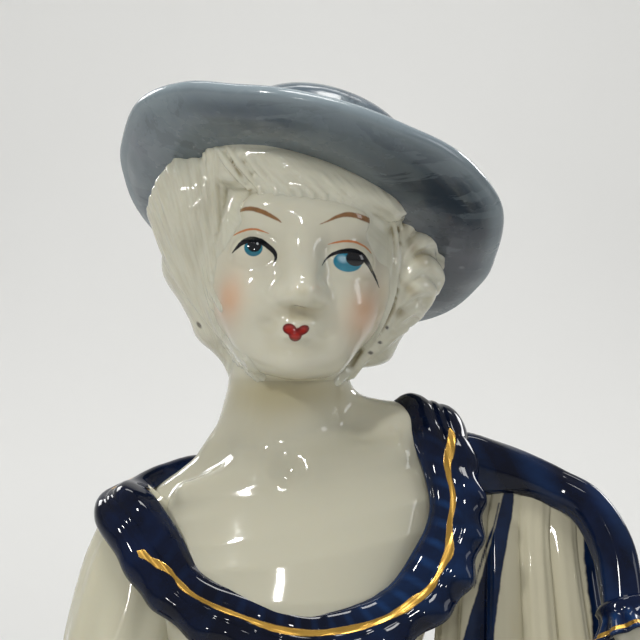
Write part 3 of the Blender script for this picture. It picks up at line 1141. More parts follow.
# ------------------------------------------------------------------------------------------------ hat
def brim_mesh():
    n, tops, lips_n = (420), 26, 12
    a = np.linspace(0, 360, n, endpoint=False)
    r_e, h_e = periodic(DEG, RAD, a), periodic(DEG, HGT, a)
    h_e = h_e + brim_drop(a)
    r_e = r_e + 0.10 * np.sin(np.radians(a) * 7 + 1) + 0.06 * np.sin(np.radians(a) * 13)
    t0 = 1.75
    rows = []
    info = []
    s_top = np.linspace(0, 0.97, tops)
    lip = np.linspace(-math.pi / 2, math.pi / 2, lips_n)
    r0 = 12.0
    for i in range(n):
        ar = math.radians(a[i])
        turn = 0.9 + 0.5 * (0.5 - 0.5 * math.sin(ar))
        edge_r, edge_h = r_e[i], h_e[i]
        sag = -0.9

        def mid(s):
            return r0 + (edge_r - 0.8 - r0) * s, edge_h * s**1.7 + sag * math.sin(math.pi * min(1, s)) * 0.8 + turn * max(0, s - 0.74) ** 2 * 8.0
        pts, inf = [], []
        for s in s_top:  # underside, from the root outwards
            r, h = mid(s)
            pts.append((r, h - t0 * 0.45 + 0.12 * math.sin(3 * ar + 5 * s)))
            inf.append((s, 0))
        r1, h1 = mid(1.0)
        tilt = 0.75
        for b in lip:  # rounded rim
            rr, hh = 0.80 * math.cos(b), 0.80 * math.sin(b)
            pts.append((r1 + rr * math.cos(tilt) - hh * math.sin(tilt) * 0.4, h1 + hh + rr * math.sin(tilt) * 0.5))
            inf.append((1.0, 0.5 + b / math.pi))
        for s in s_top[::-1]:
            r, h = mid(s)
            pts.append((r, h + t0 * 0.55))
            inf.append((s, 1))
        rows.append([(r * math.cos(ar), r * math.sin(ar), h) for r, h in pts])
        info.append(inf)
    g = np.array(rows)
    inf = np.array(info)
    v = g.reshape(-1, 3) @ HAT_R.T + HAT_C
    f = grid_faces(n, g.shape[1], True, True)
    return v, f, inf.reshape(-1, 2)


v, f, inf = brim_mesh()
px = to_px(v)
under = inf[:, 1] < 0.5
edge = np.clip((inf[:, 0] - 0.86) / 0.14, 0, 1) ** 2 * np.where(under, 0.75, 0.9) + 0.35 * gauss(px, (150, 150), (26, 60), 20) * under
edge = edge + 0.35 * gauss(px, (300, 92), (70, 7), 8) * under
deep = 0.95 * gauss(px, (461, 243), (17, 44), 22) + 0.7 * gauss(px, (425, 186), (34, 12), 30) + 0.30 * gauss(px, (330, 150), (80, 14), 14)
deep = deep + 0.25 * gauss(px, (150, 200), (12, 30), -10)
make("hat_brim", v, f, "slate", node="hat_brim",
     attrs={"edge": np.clip(edge, 0, 1), "deep": np.where(under, np.clip(deep + 0.22 * np.clip((px[:, 0] - 150) / 200, 0, 1.6), 0, 1) * (1 - edge * 0.5), 0.12)})


def turned(name, prof, mat, R, C, nodes, n=220, attrs=None, closed=False, shape=None):
    """A turned piece from (radius, height) rows, closed on its axis or as a ring."""
    prof = np.array(prof, float)
    a = np.linspace(0, 2 * math.pi, n, endpoint=False)
    if closed:
        g = np.stack([np.outer(np.cos(a), prof[:, 0]), np.outer(np.sin(a), prof[:, 0]), np.outer(np.ones(n), prof[:, 1])], -1)
        if shape is not None:
            g = shape(g, a)
        v = g.reshape(-1, 3) @ R.T + C
        f = grid_faces(n, len(prof), True, True)
        at = {k: fn(g).reshape(-1) for k, fn in (attrs or {}).items()}
        return make(name, v, f, mat, node=nodes, attrs=at)
    inner = prof[1:-1]
    g = np.stack([np.outer(np.cos(a), inner[:, 0]), np.outer(np.sin(a), inner[:, 0]), np.outer(np.ones(n), inner[:, 1])], -1)
    if shape is not None:
        g = shape(g, a)
    v = np.vstack([g.reshape(-1, 3), [(0, 0, prof[0][1])], [(0, 0, prof[-1][1])]])
    m = len(inner)
    f = [tuple(r) for r in grid_faces(n, m, True, False)]
    p0, p1 = n * m, n * m + 1
    for i in range(n):
        j = (i + 1) % n
        f.append((j * m, i * m, p0))
        f.append((i * m + m - 1, j * m + m - 1, p1))
    at = {}
    for k, fn in (attrs or {}).items():
        at[k] = np.concatenate([fn(g).reshape(-1), [0.0, 0.0]])
    return make(name, v @ R.T + C, f, mat, node=nodes, attrs=at)


def arc(cx, cz, r, a0, a1, n):
    return [(cx + r * math.cos(t), cz + r * math.sin(t)) for t in np.radians(np.linspace(a0, a1, n))]


crown = [(0, 10.2), (6.0, 10.1), (9.0, 8.6), (10.6, 0.0)] + [(11.6, -0.6), (12.6, 0.0), (12.3, 3.0), (11.9, 6.0), (11.3, 8.4)] + arc(8.1, 8.9, 3.1, 12, 84, 10) + [(5.5, 12.15), (2.5, 12.0), (0, 11.9)]
crown_s = np.vstack([crown[:1], spline(crown[1:-1], 60), crown[-1:]])


def crown_shape(g, a):
    dent = 0.35 * np.cos(2 * a)[:, None] * np.clip(g[..., 2] / 12, 0, 1)
    k = 1 + dent / 12.0
    g = g.copy()
    g[..., 0] *= k
    g[..., 1] *= k
    return g


turned("hat_crown", crown_s, "slate", HAT_R, HAT_C, ["hat_crown"], attrs={
    "edge": lambda g: np.clip((g[..., 2] - 10.5) / 2, 0, 1) * 0.35, "deep": lambda g: np.clip(1 - g[..., 2] / 4.0, 0, 1) * 0.4}, shape=crown_shape)
band = [(12.35, 1.3)] + [(12.75, 1.35), (13.35, 1.7), (13.45, 2.4), (13.2, 3.2), (13.25, 4.1), (12.9, 4.7)] + [(12.3, 4.8), (11.9, 4.2), (11.9, 2.0)]
turned("hat_band", band, "slate", HAT_R, HAT_C, "hat_band", closed=True, attrs={
    "edge": lambda g: g[..., 0] * 0, "deep": lambda g: g[..., 0] * 0 + 0.75})

# ------------------------------------------------------------------------------------------------ collar
ST = [  # inner x, y, depth, outer x, y, depth in the picture plane, then ruffle strength
    (392, 399, 1.0, 458, 430, 1.5, .12), (404.5, 420, -2.5, 474, 458, -2.5, .28), (418, 453, -5, 482, 487, -5.5, .75), (427.5, 487, -6.8, 485.5, 513, -7.4, 1),
    (429.5, 509, -7.8, 483, 535, -8.6, 1), (424, 530, -8.8, 480, 556, -9.8, 1), (414, 549, -9.6, 472, 581, -10.9, 1), (400, 572, -10.3, 460, 605, -11.8, 1),
    (386, 588, -10.9, 438, 624, -12.6, 1), (364.7, 599, -11.4, 412, 645, -13.2, 1), (340, 605.5, -11.8, 372, 664, -13.8, .9), (308, 609.6, -12, 318, 674, -14, .8),
    (280, 603, -11.9, 272, 668, -13.8, .8), (251, 591, -11.5, 228, 655, -13.2, .8), (218, 579, -10.8, 190, 640, -12.2, .75), (196, 563.7, -10, 160, 615, -11, .6),
    (181, 536, -9, 138, 594, -9.8, .45), (169, 518, -8.2, 123, 570, -8.4, .3), (153, 496, -7, 109, 545, -6.6, .15), (141, 484, -4.8, 98, 528, -4.2, .1)]
ring = [list(at_px(a, b, c)) + list(at_px(d, e, g)) + [w] for a, b, c, d, e, g, w in ST]
ring += [[-17.4, -0.9, 163.4, -23.8, -1.0, 159.9, .15], [-14.6, 2.6, 165.0, -21.2, 4.2, 160.4, .3], [-10.8, 5.4, 166.2, -15.6, 8.8, 160.6, .6], [-6.2, 7.8, 165.6, -8.6, 12.0, 159.2, 1],
         [-0.5, 8.6, 164.6, -0.5, 13.0, 158.2, 1], [6.0, 7.8, 166.4, 8.6, 12.0, 160.4, .8], [10.4, 5.0, 169.4, 15.8, 7.6, 164.4, .3]]
ring = np.array(ring)


def around(rows, n):
    """n rows of a closed Catmull-Rom curve."""
    m = len(rows)
    t = np.linspace(0, m, n, endpoint=False)
    k = t.astype(int)
    f = (t - k)[:, None]
    p = [rows[(k + d) % m] for d in (-1, 0, 1, 2)]
    return 0.5 * (2 * p[1] + (p[2] - p[0]) * f + (2 * p[0] - 5 * p[1] + 4 * p[2] - p[3]) * f**2 + (3 * p[1] - p[0] - 3 * p[2] + p[3]) * f**3)


def collar():
    n = 1040
    c = around(ring, 4000)
    mid = (c[:, :3] + c[:, 3:6]) / 2
    L = np.concatenate([[0], np.cumsum(np.linalg.norm(np.diff(mid, axis=0, append=mid[:1]), axis=1))])
    s_even = np.linspace(0, L[-1], n, endpoint=False)
    c = np.stack([np.interp(s_even, L, np.append(c[:, k], c[0, k])) for k in range(7)], 1)
    inner, outer, ruf = c[:, :3], c[:, 3:6], c[:, 6]
    along = np.roll(inner + outer, -1, 0) - np.roll(inner + outer, 1, 0)
    across = outer - inner
    up = np.cross(across, along)
    up /= np.linalg.norm(up, axis=1)[:, None]
    away = (inner + outer) / 2 - np.array([0, 0, 1.0]) * ((inner + outer) / 2)[:, 2:3]
    away[:, 2] += 6
    up *= np.sign((up * away).sum(1))[:, None]
    width = np.linalg.norm(across, axis=1)
    length = L[-1]
    ph = 2 * math.pi * s_even / length
    jit = 0.5 * np.sin(ph * 3 + 1) + 0.35 * np.sin(ph * 5 + 2.2)
    big = ph * 24 + jit * 1.2         # outer ruffles
    small = ph * 50 + jit * 2 + 0.6   # gathers of the inner band
    top_s = np.concatenate([np.linspace(0, 0.08, 4), np.linspace(0.12, 0.94, 30), [0.965, 0.985, 0.997]])
    rows, ridge, ss = [], [], []
    for s in top_s:
        dome_in = math.sin(math.pi * min(1, s / 0.56)) if s < 0.56 else 0
        dome_out = math.sin(math.pi * min(1, max(0, (s - 0.44) / 0.56)))
        h = 0.55 + 1.0 * dome_in**0.7 * (1 if s < .56 else 0) + 1.25 * dome_out**0.8 - 0.15
        h *= min(1.0, (s + 0.015) / 0.10)
        lip = math.sqrt(max(0.0, 1 - max(0, (s - 0.93) / 0.07) ** 2))
        fold = 0.34 * np.sin(big) * (0.15 + 0.85 * max(0, s - 0.35) / 0.65) * ruf
        gath = 0.008 * np.sin(small) * math.exp(-((s - 0.30) / 0.20) ** 2) * (0.35 + 0.65 * ruf)
        puff = 0.55 * (1 - ruf) * math.sin(math.pi * s) ** 0.8
        hh = h * lip + fold * lip + gath + puff - 0.7 * max(0.0, 1 - s / 0.16) * (1 - ruf)
        stretch = 1.0 + 0.050 * np.sin(big) * max(0, s - 0.5) * 2 * ruf
        rows.append(inner + across * (s * stretch)[:, None] + up * hh[:, None])
        ridge.append(np.clip(0.55 * np.sin(big) * ruf * max(0, s - 0.3) + 0.6 * np.sin(small) * math.exp(-((s - 0.28) / 0.2) ** 2) * ruf, 0, 1) + 0.5 * math.exp(-(s / 0.03) ** 2) + 0.35 * max(0, (s - 0.93) / 0.07))
        ss.append(np.full(n, s))
    for s in (1.0, 0.97, 0.9, 0.8, 0.65, 0.5, 0.35, 0.2, 0.08, 0.0):
        low = -0.55 - 0.35 * math.sin(math.pi * s)
        fold = 0.22 * np.sin(big) * max(0, s - 0.35) * ruf
        stretch = 1.0 + 0.050 * np.sin(big) * max(0, s - 0.5) * 2 * ruf
        k = 0.0 if s == 1.0 else 1.0
        rows.append(inner + across * (s * stretch * (0.985 if s < 1 else 1.0))[:, None] + up * ((low + fold) * k - 0.12 * (1 - k))[:, None])
        ridge.append(np.zeros(n))
        ss.append(np.full(n, s))
    g = np.stack(rows, 1)
    return g, np.stack(ridge, 1), np.stack(ss, 1), width, s_even / length


g, ridge, ss, width, tt = collar()
v = g.reshape(-1, 3)
px = to_px(v)
path = [(450, 429, 1.4), (451.5, 436, 3.6), (450, 450, 4.8), (447.5, 463, 4.0), (449, 476, 2.6), (452.5, 492, 2.6), (452.8, 505, 2.9), (450, 522, 2.6), (449.5, 538, 3.6), (449, 552, 4.8), (443, 564, 3.4), (437, 577, 2.4), (432, 586, 3.6),
        (424, 594, 3.8), (414, 601, 4.8), (405, 608, 4.6), (396, 613, 3.6), (384, 619, 2.8), (370, 624, 3.0), (356, 628, 3.8), (338, 631, 3.3), (318, 633, 3.0), (300, 632.5, 3.4), (282, 630, 3.6), (262, 624.5, 3.2), (244, 617.5, 2.2),
        (224, 610, 2.5), (206, 602, 2.0), (192, 594, 2.2), (183, 587, 3.4), (175, 577, 2.0), (168, 570, 2.9), (158, 564, 4.0), (151, 560, 2.6), (146, 556, 3.4), (142, 553.5, 4.4), (139, 552, 2.4)]
d, w = brush(px, path, 300)
back = (v[:, 1] > 0.5) | ((v[:, 0] < -14) & (v[:, 1] > -3.0))
wid = np.repeat(width, g.shape[1])
d2 = (ss.reshape(-1) - 0.52) * wid / 0.118
w2 = 2.9 + 1.2 * np.sin(np.repeat(tt, g.shape[1]) * 90) * np.sin(np.repeat(tt, g.shape[1]) * 37 + 1)
top_side = np.tile(np.arange(g.shape[1]) < 37, g.shape[0])
w = np.where(top_side & (v[:, 1] <= 0.5), w, -99)
gold = np.where(back[:, None], np.stack([d2, np.where(top_side, w2, -99)], 1), np.stack([d, w], 1))
bands = 0.30 + 0.55 * np.clip(gauss(px, (432, 560), (40, 60), 0), 0, 1)
rid = ridge.reshape(-1) * bands + 0.30 * gauss(px, (402, 590), (40, 16), -30) + 0.18 * gauss(px, (455, 530), (18, 40))
make("collar_frill", v, grid_faces(g.shape[0], g.shape[1], True, True)[:, ::-1], "cobalt_gold", node="collar_frill",
     attrs={"ridge": np.clip(rid, 0, 1), "gold": np.concatenate([gold, gold[:, :1] * 0], 1)})


# ------------------------------------------------------------------------------------------------ sleeves
def swept(path, n, m, fold=None, close=True):
    """Tube rows n by m around a centre line of x, y, z, radius rows, with end caps drawn to a point."""
    c = spline(path, n)
    p, r = c[:, :3], c[:, 3]
    t = np.gradient(p, axis=0)
    t /= np.linalg.norm(t, axis=1)[:, None]
    x = np.cross(np.array([0.0, 1.0, 0.0]), t)
    x /= np.linalg.norm(x, axis=1)[:, None]
    y = np.cross(t, x)
    a = np.linspace(0, 2 * math.pi, m, endpoint=False)
    k = np.ones((n, m)) if fold is None else 1 + fold(np.linspace(0, 1, n)[:, None], a[None, :])
    g = p[:, None, :] + (x[:, None, :] * np.cos(a)[None, :, None] + y[:, None, :] * np.sin(a)[None, :, None]) * (r[:, None] * k)[:, :, None]
    return g, p


def capped(g, ends):
    """Flattens tube rows to vertices and faces with a fan at each end."""
    n, m = g.shape[:2]
    v = np.vstack([g.reshape(-1, 3), ends[:1], ends[-1:]])
    f = [tuple(r) for r in grid_faces(n, m, False, True)]
    for j in range(m):
        k = (j + 1) % m
        f.append((j, k, n * m))
        f.append(((n - 1) * m + k, (n - 1) * m + j, n * m + 1))
    return v, f


def tube_piece(name, path, mat, node, n=120, m=120, fold=None, attrs=None):
    g, c = swept(path, n, m, fold)
    v, f = capped(g, c)
    extra = {k: fn(v) for k, fn in (attrs or {}).items()}
    return make(name, v, f, mat, node=node, attrs=extra)


def sleeve_fold(t, a):
    """Gathers that run from the armhole down into the full of the sleeve."""
    g = 0.030 * np.sin(9 * a + 2.5 * np.sin(5 * t) + 0.6) * (0.35 + 0.9 * t)
    g = g + 0.022 * np.sin(4 * a - 6 * t + 1.0) + 0.018 * np.sin(15 * a + 4 * t) * t**1.5
    g = g - 0.05 * np.exp(-((np.mod(a - 4.6 + 1.1 * t, 2 * math.pi) - math.pi) / 0.30) ** 2) * np.sin(math.pi * t)
    return g


RS = [(-15.2, 1.0, 160.6, 4.6), (-17.6, 0.4, 157.6, 5.9), (-18.9, 0.0, 153.4, 6.9), (-19.9, -0.6, 148, 7.4), (-21.4, -2.2, 141.0, 7.1), (-23.2, -4.4, 136.0, 5.6), (-24.4, -6.0, 133.0, 4.1), (-25.0, -6.8, 131.8, 3.6)]
tube_piece("right_sleeve", RS, "porcelain", "right_sleeve", n=150, m=160, fold=sleeve_fold, attrs={"cav": lambda v: v[:, 0] * 0 + 0.05})
LS = [(12.8, 0.8, 164.2, 4.4), (17.0, 0.7, 165.2, 4.5), (20.2, 0.5, 165.5, 4.2), (23.2, 0.3, 165.2, 3.55), (27.0, 0.0, 164.5, 2.72), (31.4, -0.6, 162.8, 2.4), (35.3, -1.9, 160.6, 2.45), (37.8, -4.7, 155.8, 2.6), (38.4, -8.0, 149.0, 2.5)]
tube_piece("left_sleeve", LS, "cobalt", "left_sleeve", n=150, m=90,
           fold=lambda t, a: 0.03 * np.sin(3 * a + 9 * t) + 0.02 * np.sin(7 * a - 14 * t) * (0.4 + t),
           attrs={"ridge": lambda v: np.clip(0.10 + 0.16 * np.sin(v[:, 0] * 0.9 + v[:, 2] * 0.5), 0, 1)})

# hanging sleeve: a fluted bell below the raised arm
DR = [(28.4, 0.6, 163.6, 8.3, 1.2, 0.15), (28.5, 0.5, 161.2, 8.8, 1.9, 0.35), (28.2, 0.4, 157.0, 9.7, 2.7, 0.7), (28.5, 0.2, 150.0, 10.6, 3.8, 1.0), (29.0, 0.0, 141.0, 11.8, 4.7, 1.25), (29.4, -0.2, 131.0, 13.0, 5.6, 1.55), (29.9, -0.3, 122.3, 13.6, 6.3, 1.9)]


def drape():
    n, m = (170), (560)
    c = spline(DR, n)
    a = np.linspace(0, 2 * math.pi, m, endpoint=False)
    t = np.linspace(0, 1, n)[:, None]
    ph = 15 * a[None, :] + 0.5 * np.sin(3 * a[None, :] + 2) + 0.5 * t
    wave = (np.abs(np.sin(ph / 2 + 0.4)) ** 0.75 * 2 - 1.25) * 0.62 * c[:, 5:6]
    fine = 0.07 * np.sin(47 * a[None, :] + 3 * t) * c[:, 5:6]
    px_, py_ = c[:, 3:4] * np.cos(a), c[:, 4:5] * np.sin(a)
    k = 1 + (wave + fine) / np.hypot(px_, py_)
    hem = np.exp(-((t - 1) / 0.02) ** 2) * 0.25
    out = np.stack([c[:, 0:1] + px_ * k * (1 + hem * 0.02), c[:, 1:2] + py_ * k * (1 + hem * 0.05), c[:, 2:3] + 0 * px_], -1)
    th = 1.25
    ki = 1 + (wave - th) / np.hypot(px_, py_)
    inn = np.stack([c[:, 0:1] + px_ * ki, c[:, 1:2] + py_ * ki, c[:, 2:3] + 0 * px_], -1)
    stop = int(n * 0.20)
    inn = inn[stop:]
    lip_ = [(out[-1] * (1 - u) + inn[-1] * u) - np.array([0, 0, 0.45 * math.sin(math.pi * u)]) for u in (0.2, 0.5, 0.8)]
    rows = np.concatenate([out, np.array(lip_), inn[::-1]], 0)
    v, f = capped(rows, np.array([out[0].mean(0), inn[0].mean(0)]))
    arm_z = np.interp(v[:, 0], [19, 22, 27, 31.4, 35.3, 37.0, 38.4, 43.6], [165.4, 165.3, 164.5, 162.8, 160.4, 157.8, 154.5, 150.0])
    base_z = DR[-1][2] - 0.6
    v[:, 2] = base_z + (v[:, 2] - base_z) * (arm_z - base_z) / (163.6 - base_z)
    groove = np.concatenate([np.clip(0.5 - (wave + 0.4) / 1.2, 0, 1)[:, :].reshape(-1), np.zeros(3 * m), np.zeros(len(inn) * m), [0, 0]])
    tz = np.concatenate([np.repeat(t[:, 0], m), np.ones(3 * m), np.repeat(t[stop:, 0][::-1], m), [0, 0]])
    ang = np.concatenate([np.tile(a, n), np.tile(a, 3), np.tile(a, len(inn)), [0, 0]])
    outer_side = np.concatenate([np.ones(n * m), np.ones(3 * m), np.zeros(len(inn) * m + 2)])
    return v, f, groove, tz, ang, outer_side


v, f, groove, tz, ang, side = drape()
px = to_px(v)
fr = (v[:, 1] < 0.6) & (side > 0.5)
d, w = brush(px, [(509, 494, 5.6), (507, 506, 6.6), (503, 525, 7.2), (498, 548, 8.2), (492, 575, 9.6), (486, 603, 12.0), (480, 632, 14.5), (472, 680, 17), (464, 730, 19), (458, 790, 20)], 120)
stripe = np.where(fr, (w - np.abs(d)) / 8.5, -2)
d, w = brush(px, [(499, 503, 0.8), (494, 525, 0.95), (487, 545, 1.0), (480, 566, 0.9), (474, 588, 0.6)], 60)
stripe = np.maximum(stripe, np.where(fr, (w - np.abs(d)) / 8.5, -2))
# the same stripes repeat around the back
for c0 in (1.05, 1.75, 2.5):
    dd = np.abs(np.mod(ang - c0 + math.pi, 2 * math.pi) - math.pi) * 10.5
    stripe = np.maximum(stripe, np.where(~fr & (side > 0.5), (0.7 + 1.6 * tz - dd) / 1.2, -2))
for c0 in (5.55,):
    dd = np.abs(np.mod(ang - c0 + math.pi, 2 * math.pi) - math.pi) * 11.5
    stripe = np.maximum(stripe, np.where(fr, (0.55 + 1.4 * tz - dd) / 1.2, -2))
hem_y = (tz - 0.925) * 42
stripe = np.maximum(stripe, np.where(side > 0.5, hem_y / 1.0, -2))
goldline = 0.33 + 0.10 * np.sin(ang * 31) * np.sin(ang * 7) - np.abs((tz - 0.905) * 42)
make("hanging_sleeve", v, f, "striped", node="hanging_sleeve",
     attrs={"stripe": np.stack([stripe, np.where(side > 0.5, goldline, -1), stripe * 0], 1), "cav": np.clip(groove, 0, 1) * 0.55, "ridge": np.clip(0.5 - groove, 0, 1) * 0.5})


# ------------------------------------------------------------------------------------------------ skirt
SK = spline([(12.0, 38.4, 1.9), (24.0, 37.0, 1.8), (42.0, 33.9, 1.6), (62.0, 30.2, 1.3), (82.0, 26.2, 1.0), (102.0, 21.0, 0.7), (115.0, 16.2, 0.4), (123.0, 12.2, 0.15), (128.0, 9.8, 0.0)], 400)


def fold(a, sharp=0.8):
    """Rounded ridges with drawn-in valleys."""
    return 2 * np.abs(np.sin(a / 2)) ** sharp - 1


def skirt_r(z):
    return np.interp(z, SK[:, 0], SK[:, 1]), np.interp(z, SK[:, 0], SK[:, 2])


def skirt_wave(t, lean=0.0):
    return 0.62 * fold(13 * t + 0.8 * np.sin(2 * t) + math.pi + lean) + 0.38 * fold(8 * t + 1.3 + math.pi, 1.0)


def skirt_pts(z, t, grow=0.0, share=1.0, extra=0.0):
    """Points on the skirt at heights z (rows) and angles t (columns)."""
    r0, f = skirt_r(z)
    w = skirt_wave(t, 0.25 * np.sin(z / 23.0))
    tuck = 0.22 * np.exp(-(128 - z) / 7.0) * np.cos(58 * t)
    r = r0 + f * share * w + grow + extra + tuck * share
    y0 = 0.8 * (1 - (z - 12) / 116.0)
    return np.stack([r * np.cos(t), 0.94 * r * np.sin(t) + y0, z + 0 * t], -1), w


n, m_out, m_in = (560), (130), 16
t = np.linspace(0, 2 * math.pi, n, endpoint=False)[:, None]
zo = np.linspace(12.06, 127.9, m_out)[None, :]
out, w = skirt_pts(zo, t)
zi = np.linspace(127.4, 12.06, m_in)[None, :]
inn, wi = skirt_pts(zi, t, grow=-2.2)
g = np.concatenate([out, inn], 1)
w_all = np.concatenate([w, wi * 0], 1).reshape(-1)
z_all = np.broadcast_to(np.concatenate([zo, zi * 0], 1), (n, m_out + m_in)).reshape(-1)
t_all = np.broadcast_to(t, (n, m_out + m_in)).reshape(-1)
v = g.reshape(-1, 3)
is_out = np.broadcast_to(np.arange(m_out + m_in)[None, :] < m_out, (n, m_out + m_in)).reshape(-1)
make("skirt", v, grid_faces(n, m_out + m_in, True, True), "sprigged", node="skirt_shell",
     attrs={"outside": np.where(is_out, 1.0, 0.0), "cav": np.where(is_out, np.clip(-w_all - 0.15, 0, 1) ** 1.5 * 0.75, 0.6), "ridge": w_all * 0})

# hem flounce: knife pleats with a scalloped foot
n, m = (1840), 30
t = np.linspace(0, 2 * math.pi, n, endpoint=False)[:, None]
PL = 46
loop_z = np.concatenate([np.linspace(12.5, 26.0, m), [26.9, 27.2, 26.8], np.linspace(25.5, 13.2, 8), [12.55]])
loop_k = np.concatenate([np.ones(m), [0.6, 0.3, 0.0], np.zeros(8), [0.4]])  # 1 outside, 0 inside
s = (loop_z - 12.5) / 14.5
pleat_a = PL * t + 0.25 * np.sin(3 * t)
pl = fold(pleat_a + math.pi, 0.75) * 0.8 + 0.12 * np.cos(2 * pleat_a + 1)
outg = (2.1 + 1.25 * np.clip(1 - s, 0, 1) ** 1.4 - 0.75 * np.clip((s - 0.75) / 0.25, 0, 1))[None, :]
grow = np.where(loop_k[None, :] > 0.5, outg, -0.2 + 0.8 * loop_k[None, :]) + pl * 0.72 * (1 - 0.45 * s[None, :]) * loop_k[None, :]
low = np.clip((14.5 - loop_z) / 2, 0, 1)[None, :]
zz = loop_z[None, :] + 0.16 * low * (1 + np.cos(pleat_a))
r0, f0 = skirt_r(zz)
w = skirt_wave(t, 0.25 * np.sin(zz / 23.0))
r = r0 + f0 * 0.4 * w + grow
y0 = 0.8 * (1 - (zz - 12) / 116.0)
r = np.minimum(r, 43.6)
g = np.stack([r * np.cos(t), 0.94 * r * np.sin(t) + y0, zz], -1)
cols = len(loop_z)
v = g.reshape(-1, 3)
kz = np.broadcast_to(loop_z[None, :], (n, cols)).reshape(-1)
kk = np.broadcast_to(loop_k[None, :], (n, cols)).reshape(-1)
gd = np.where(kk > 0.5, np.minimum(np.abs(kz - 24.3), np.abs(kz - 14.3) * 1.2), 9)
make("hem_flounce", v, grid_faces(n, cols, True, True), "cobalt_gold", node="hem_flounce",
     attrs={"ridge": np.clip((pl - 0.3) * 1.2, 0, 1).repeat(cols, 1).reshape(-1) * 0.9 * kk, "gold": np.stack([gd * 8, np.full(len(v), 2.6), gd * 0], 1)})

# overskirt: looped-up panel, open in front
n, m = (760), (80)
t0, t1 = math.radians(-56), math.radians(236)
t = np.linspace(t0, t1, n)[:, None]
end = np.minimum(t - t0, t1 - t)
round_end = np.sqrt(np.clip(1 - (1 - np.clip(end / math.radians(3.0), 0, 1)) ** 2, 0, 1))
hem_z = 85.2 + (28 - 27 * np.sin(t)) * 0.214 + 0.85 * np.cos(9 * t + 0.6 * np.sin(3 * t)) + 0.35 * np.cos(38 * t)
s = np.linspace(0, 1, m)[None, :]
zo = hem_z + (126.6 - hem_z) * s
puff = np.sin(math.pi * np.minimum(1.0, s * 1.1 + 0.1))
swag = 0.9 * puff * np.cos(9 * t + 0.6 * np.sin(3 * t)) + 0.16 * puff * np.cos(9 * t + 2.0 * s * 6) + 0.22 * np.cos(38 * t + 3 * s) * (1 - s) ** 2 + 0.18 * np.cos(44 * t) * s**3
hemroll = 0.35 * np.exp(-(s / 0.035) ** 2)
go = 1.9 * (0.55 + 0.9 * puff) * (0.35 + 0.65 * round_end) + swag * round_end + hemroll
out, w = skirt_pts(zo, t, grow=go)
gi = np.minimum(go - 1.2, 0.3) * round_end + go * (1 - round_end)
inn, _ = skirt_pts(zo[:, ::-1] * 1.0, t, grow=gi[:, ::-1])
g = np.concatenate([out, inn], 1)
v0 = g.reshape(-1, 3)
cols = 2 * m
f = [tuple(k) for k in grid_faces(n, cols, False, True)]
f.append(tuple(range(cols)))
f.append(tuple(range((n - 1) * cols, n * cols))[::-1])
side_gold = np.minimum((zo - hem_z), end * 22.0)
side_all = np.concatenate([side_gold, side_gold * 0 + 9], 1).reshape(-1)
rid = np.clip(0.5 * np.cos(9 * t + 0.6 * np.sin(3 * t)) * puff + 0.35 * np.cos(38 * t + 3 * s) * (1 - s) ** 2 + 0.12, 0, 1)
rid = np.concatenate([rid, rid * 0], 1).reshape(-1)
gd = np.abs(side_all - 1.5) * 8.6
make("overskirt", v0, f, "cobalt_gold", node="overskirt", attrs={"ridge": rid * 0.75, "gold": np.stack([gd, 3.0 + 1.0 * np.sin(v0[:, 0] * 1.7 + v0[:, 2]), gd * 0], 1)})

# ------------------------------------------------------------------------------------------------ plinth
prof = [(0.0, 8.9), (20.0, 8.9), (35.2, 8.8), (37.2, 0.9), (37.9, 0.12), (38.9, 0.0), (40.6, 0.05), (41.6, 0.35), (42.6, 0.9), (44.0, 1.3), (44.75, 2.1), (45.0, 3.4), (44.85, 4.7), (44.1, 5.5), (42.6, 6.0), (41.5, 6.6),
        (41.2, 7.5), (41.35, 8.4), (42.0, 9.1), (42.5, 9.7), (42.62, 10.7), (42.3, 11.6), (41.4, 12.0), (40.0, 12.05), (22.0, 12.04), (0.0, 12.03)]
ps = np.vstack([prof[:1], spline(prof[1:-1], 150), prof[-1:]])
nb_ = 420
ar = np.linspace(0, 2 * math.pi, nb_, endpoint=False)
inner = ps[1:-1]
lobe = 1 + 0.0022 * np.cos(24 * ar)[:, None] * np.clip((inner[:, 0] - 40) / 4, 0, 1)[None, :] * ((inner[:, 1] > 0.9) & (inner[:, 1] < 6.2))[None, :]
g = np.stack([np.cos(ar)[:, None] * inner[:, 0] * np.minimum(lobe, 1.0), np.sin(ar)[:, None] * inner[:, 0] * np.minimum(lobe, 1.0), np.broadcast_to(inner[:, 1], (nb_, len(inner)))], -1)
mcol = len(inner)
v = np.vstack([g.reshape(-1, 3), [(0, 0, ps[0][1])], [(0, 0, ps[-1][1])]])
f = [tuple(k) for k in grid_faces(nb_, mcol, True, False)]
for i in range(nb_):
    j = (i + 1) % nb_
    f.append((j * mcol, i * mcol, nb_ * mcol))
    f.append((i * mcol + mcol - 1, j * mcol + mcol - 1, nb_ * mcol + 1))
rr = np.hypot(v[:, 0], v[:, 1])
outside = (rr > 41.0) & (v[:, 2] > 0.5)
an = np.arctan2(v[:, 1], v[:, 0])
blue = np.where(outside, 1.0, np.where((rr > 40.2) & (v[:, 2] > 5), (rr - 40.6) / 0.5, -1.5))
gl = np.minimum(np.abs(v[:, 2] - 9.35), np.abs(v[:, 2] - 5.75))
gl = np.minimum(gl, np.abs(np.hypot(v[:, 2] - 3.4, 1.8 * np.sin(an * 12)) - 1.35) + 0.14)
goldb = np.where(outside, 0.30 - gl, -1)
make("plinth", v, f, "striped", node="base_plinth",
     attrs={"stripe": np.stack([blue, goldb, blue * 0], 1), "cav": np.where(v[:, 2] < 0.5, 0.9, np.where(rr < 37.6, 0.45, 0.1)), "ridge": np.clip(0.35 * (rr - 42.5) / 2, 0, 0.4)})

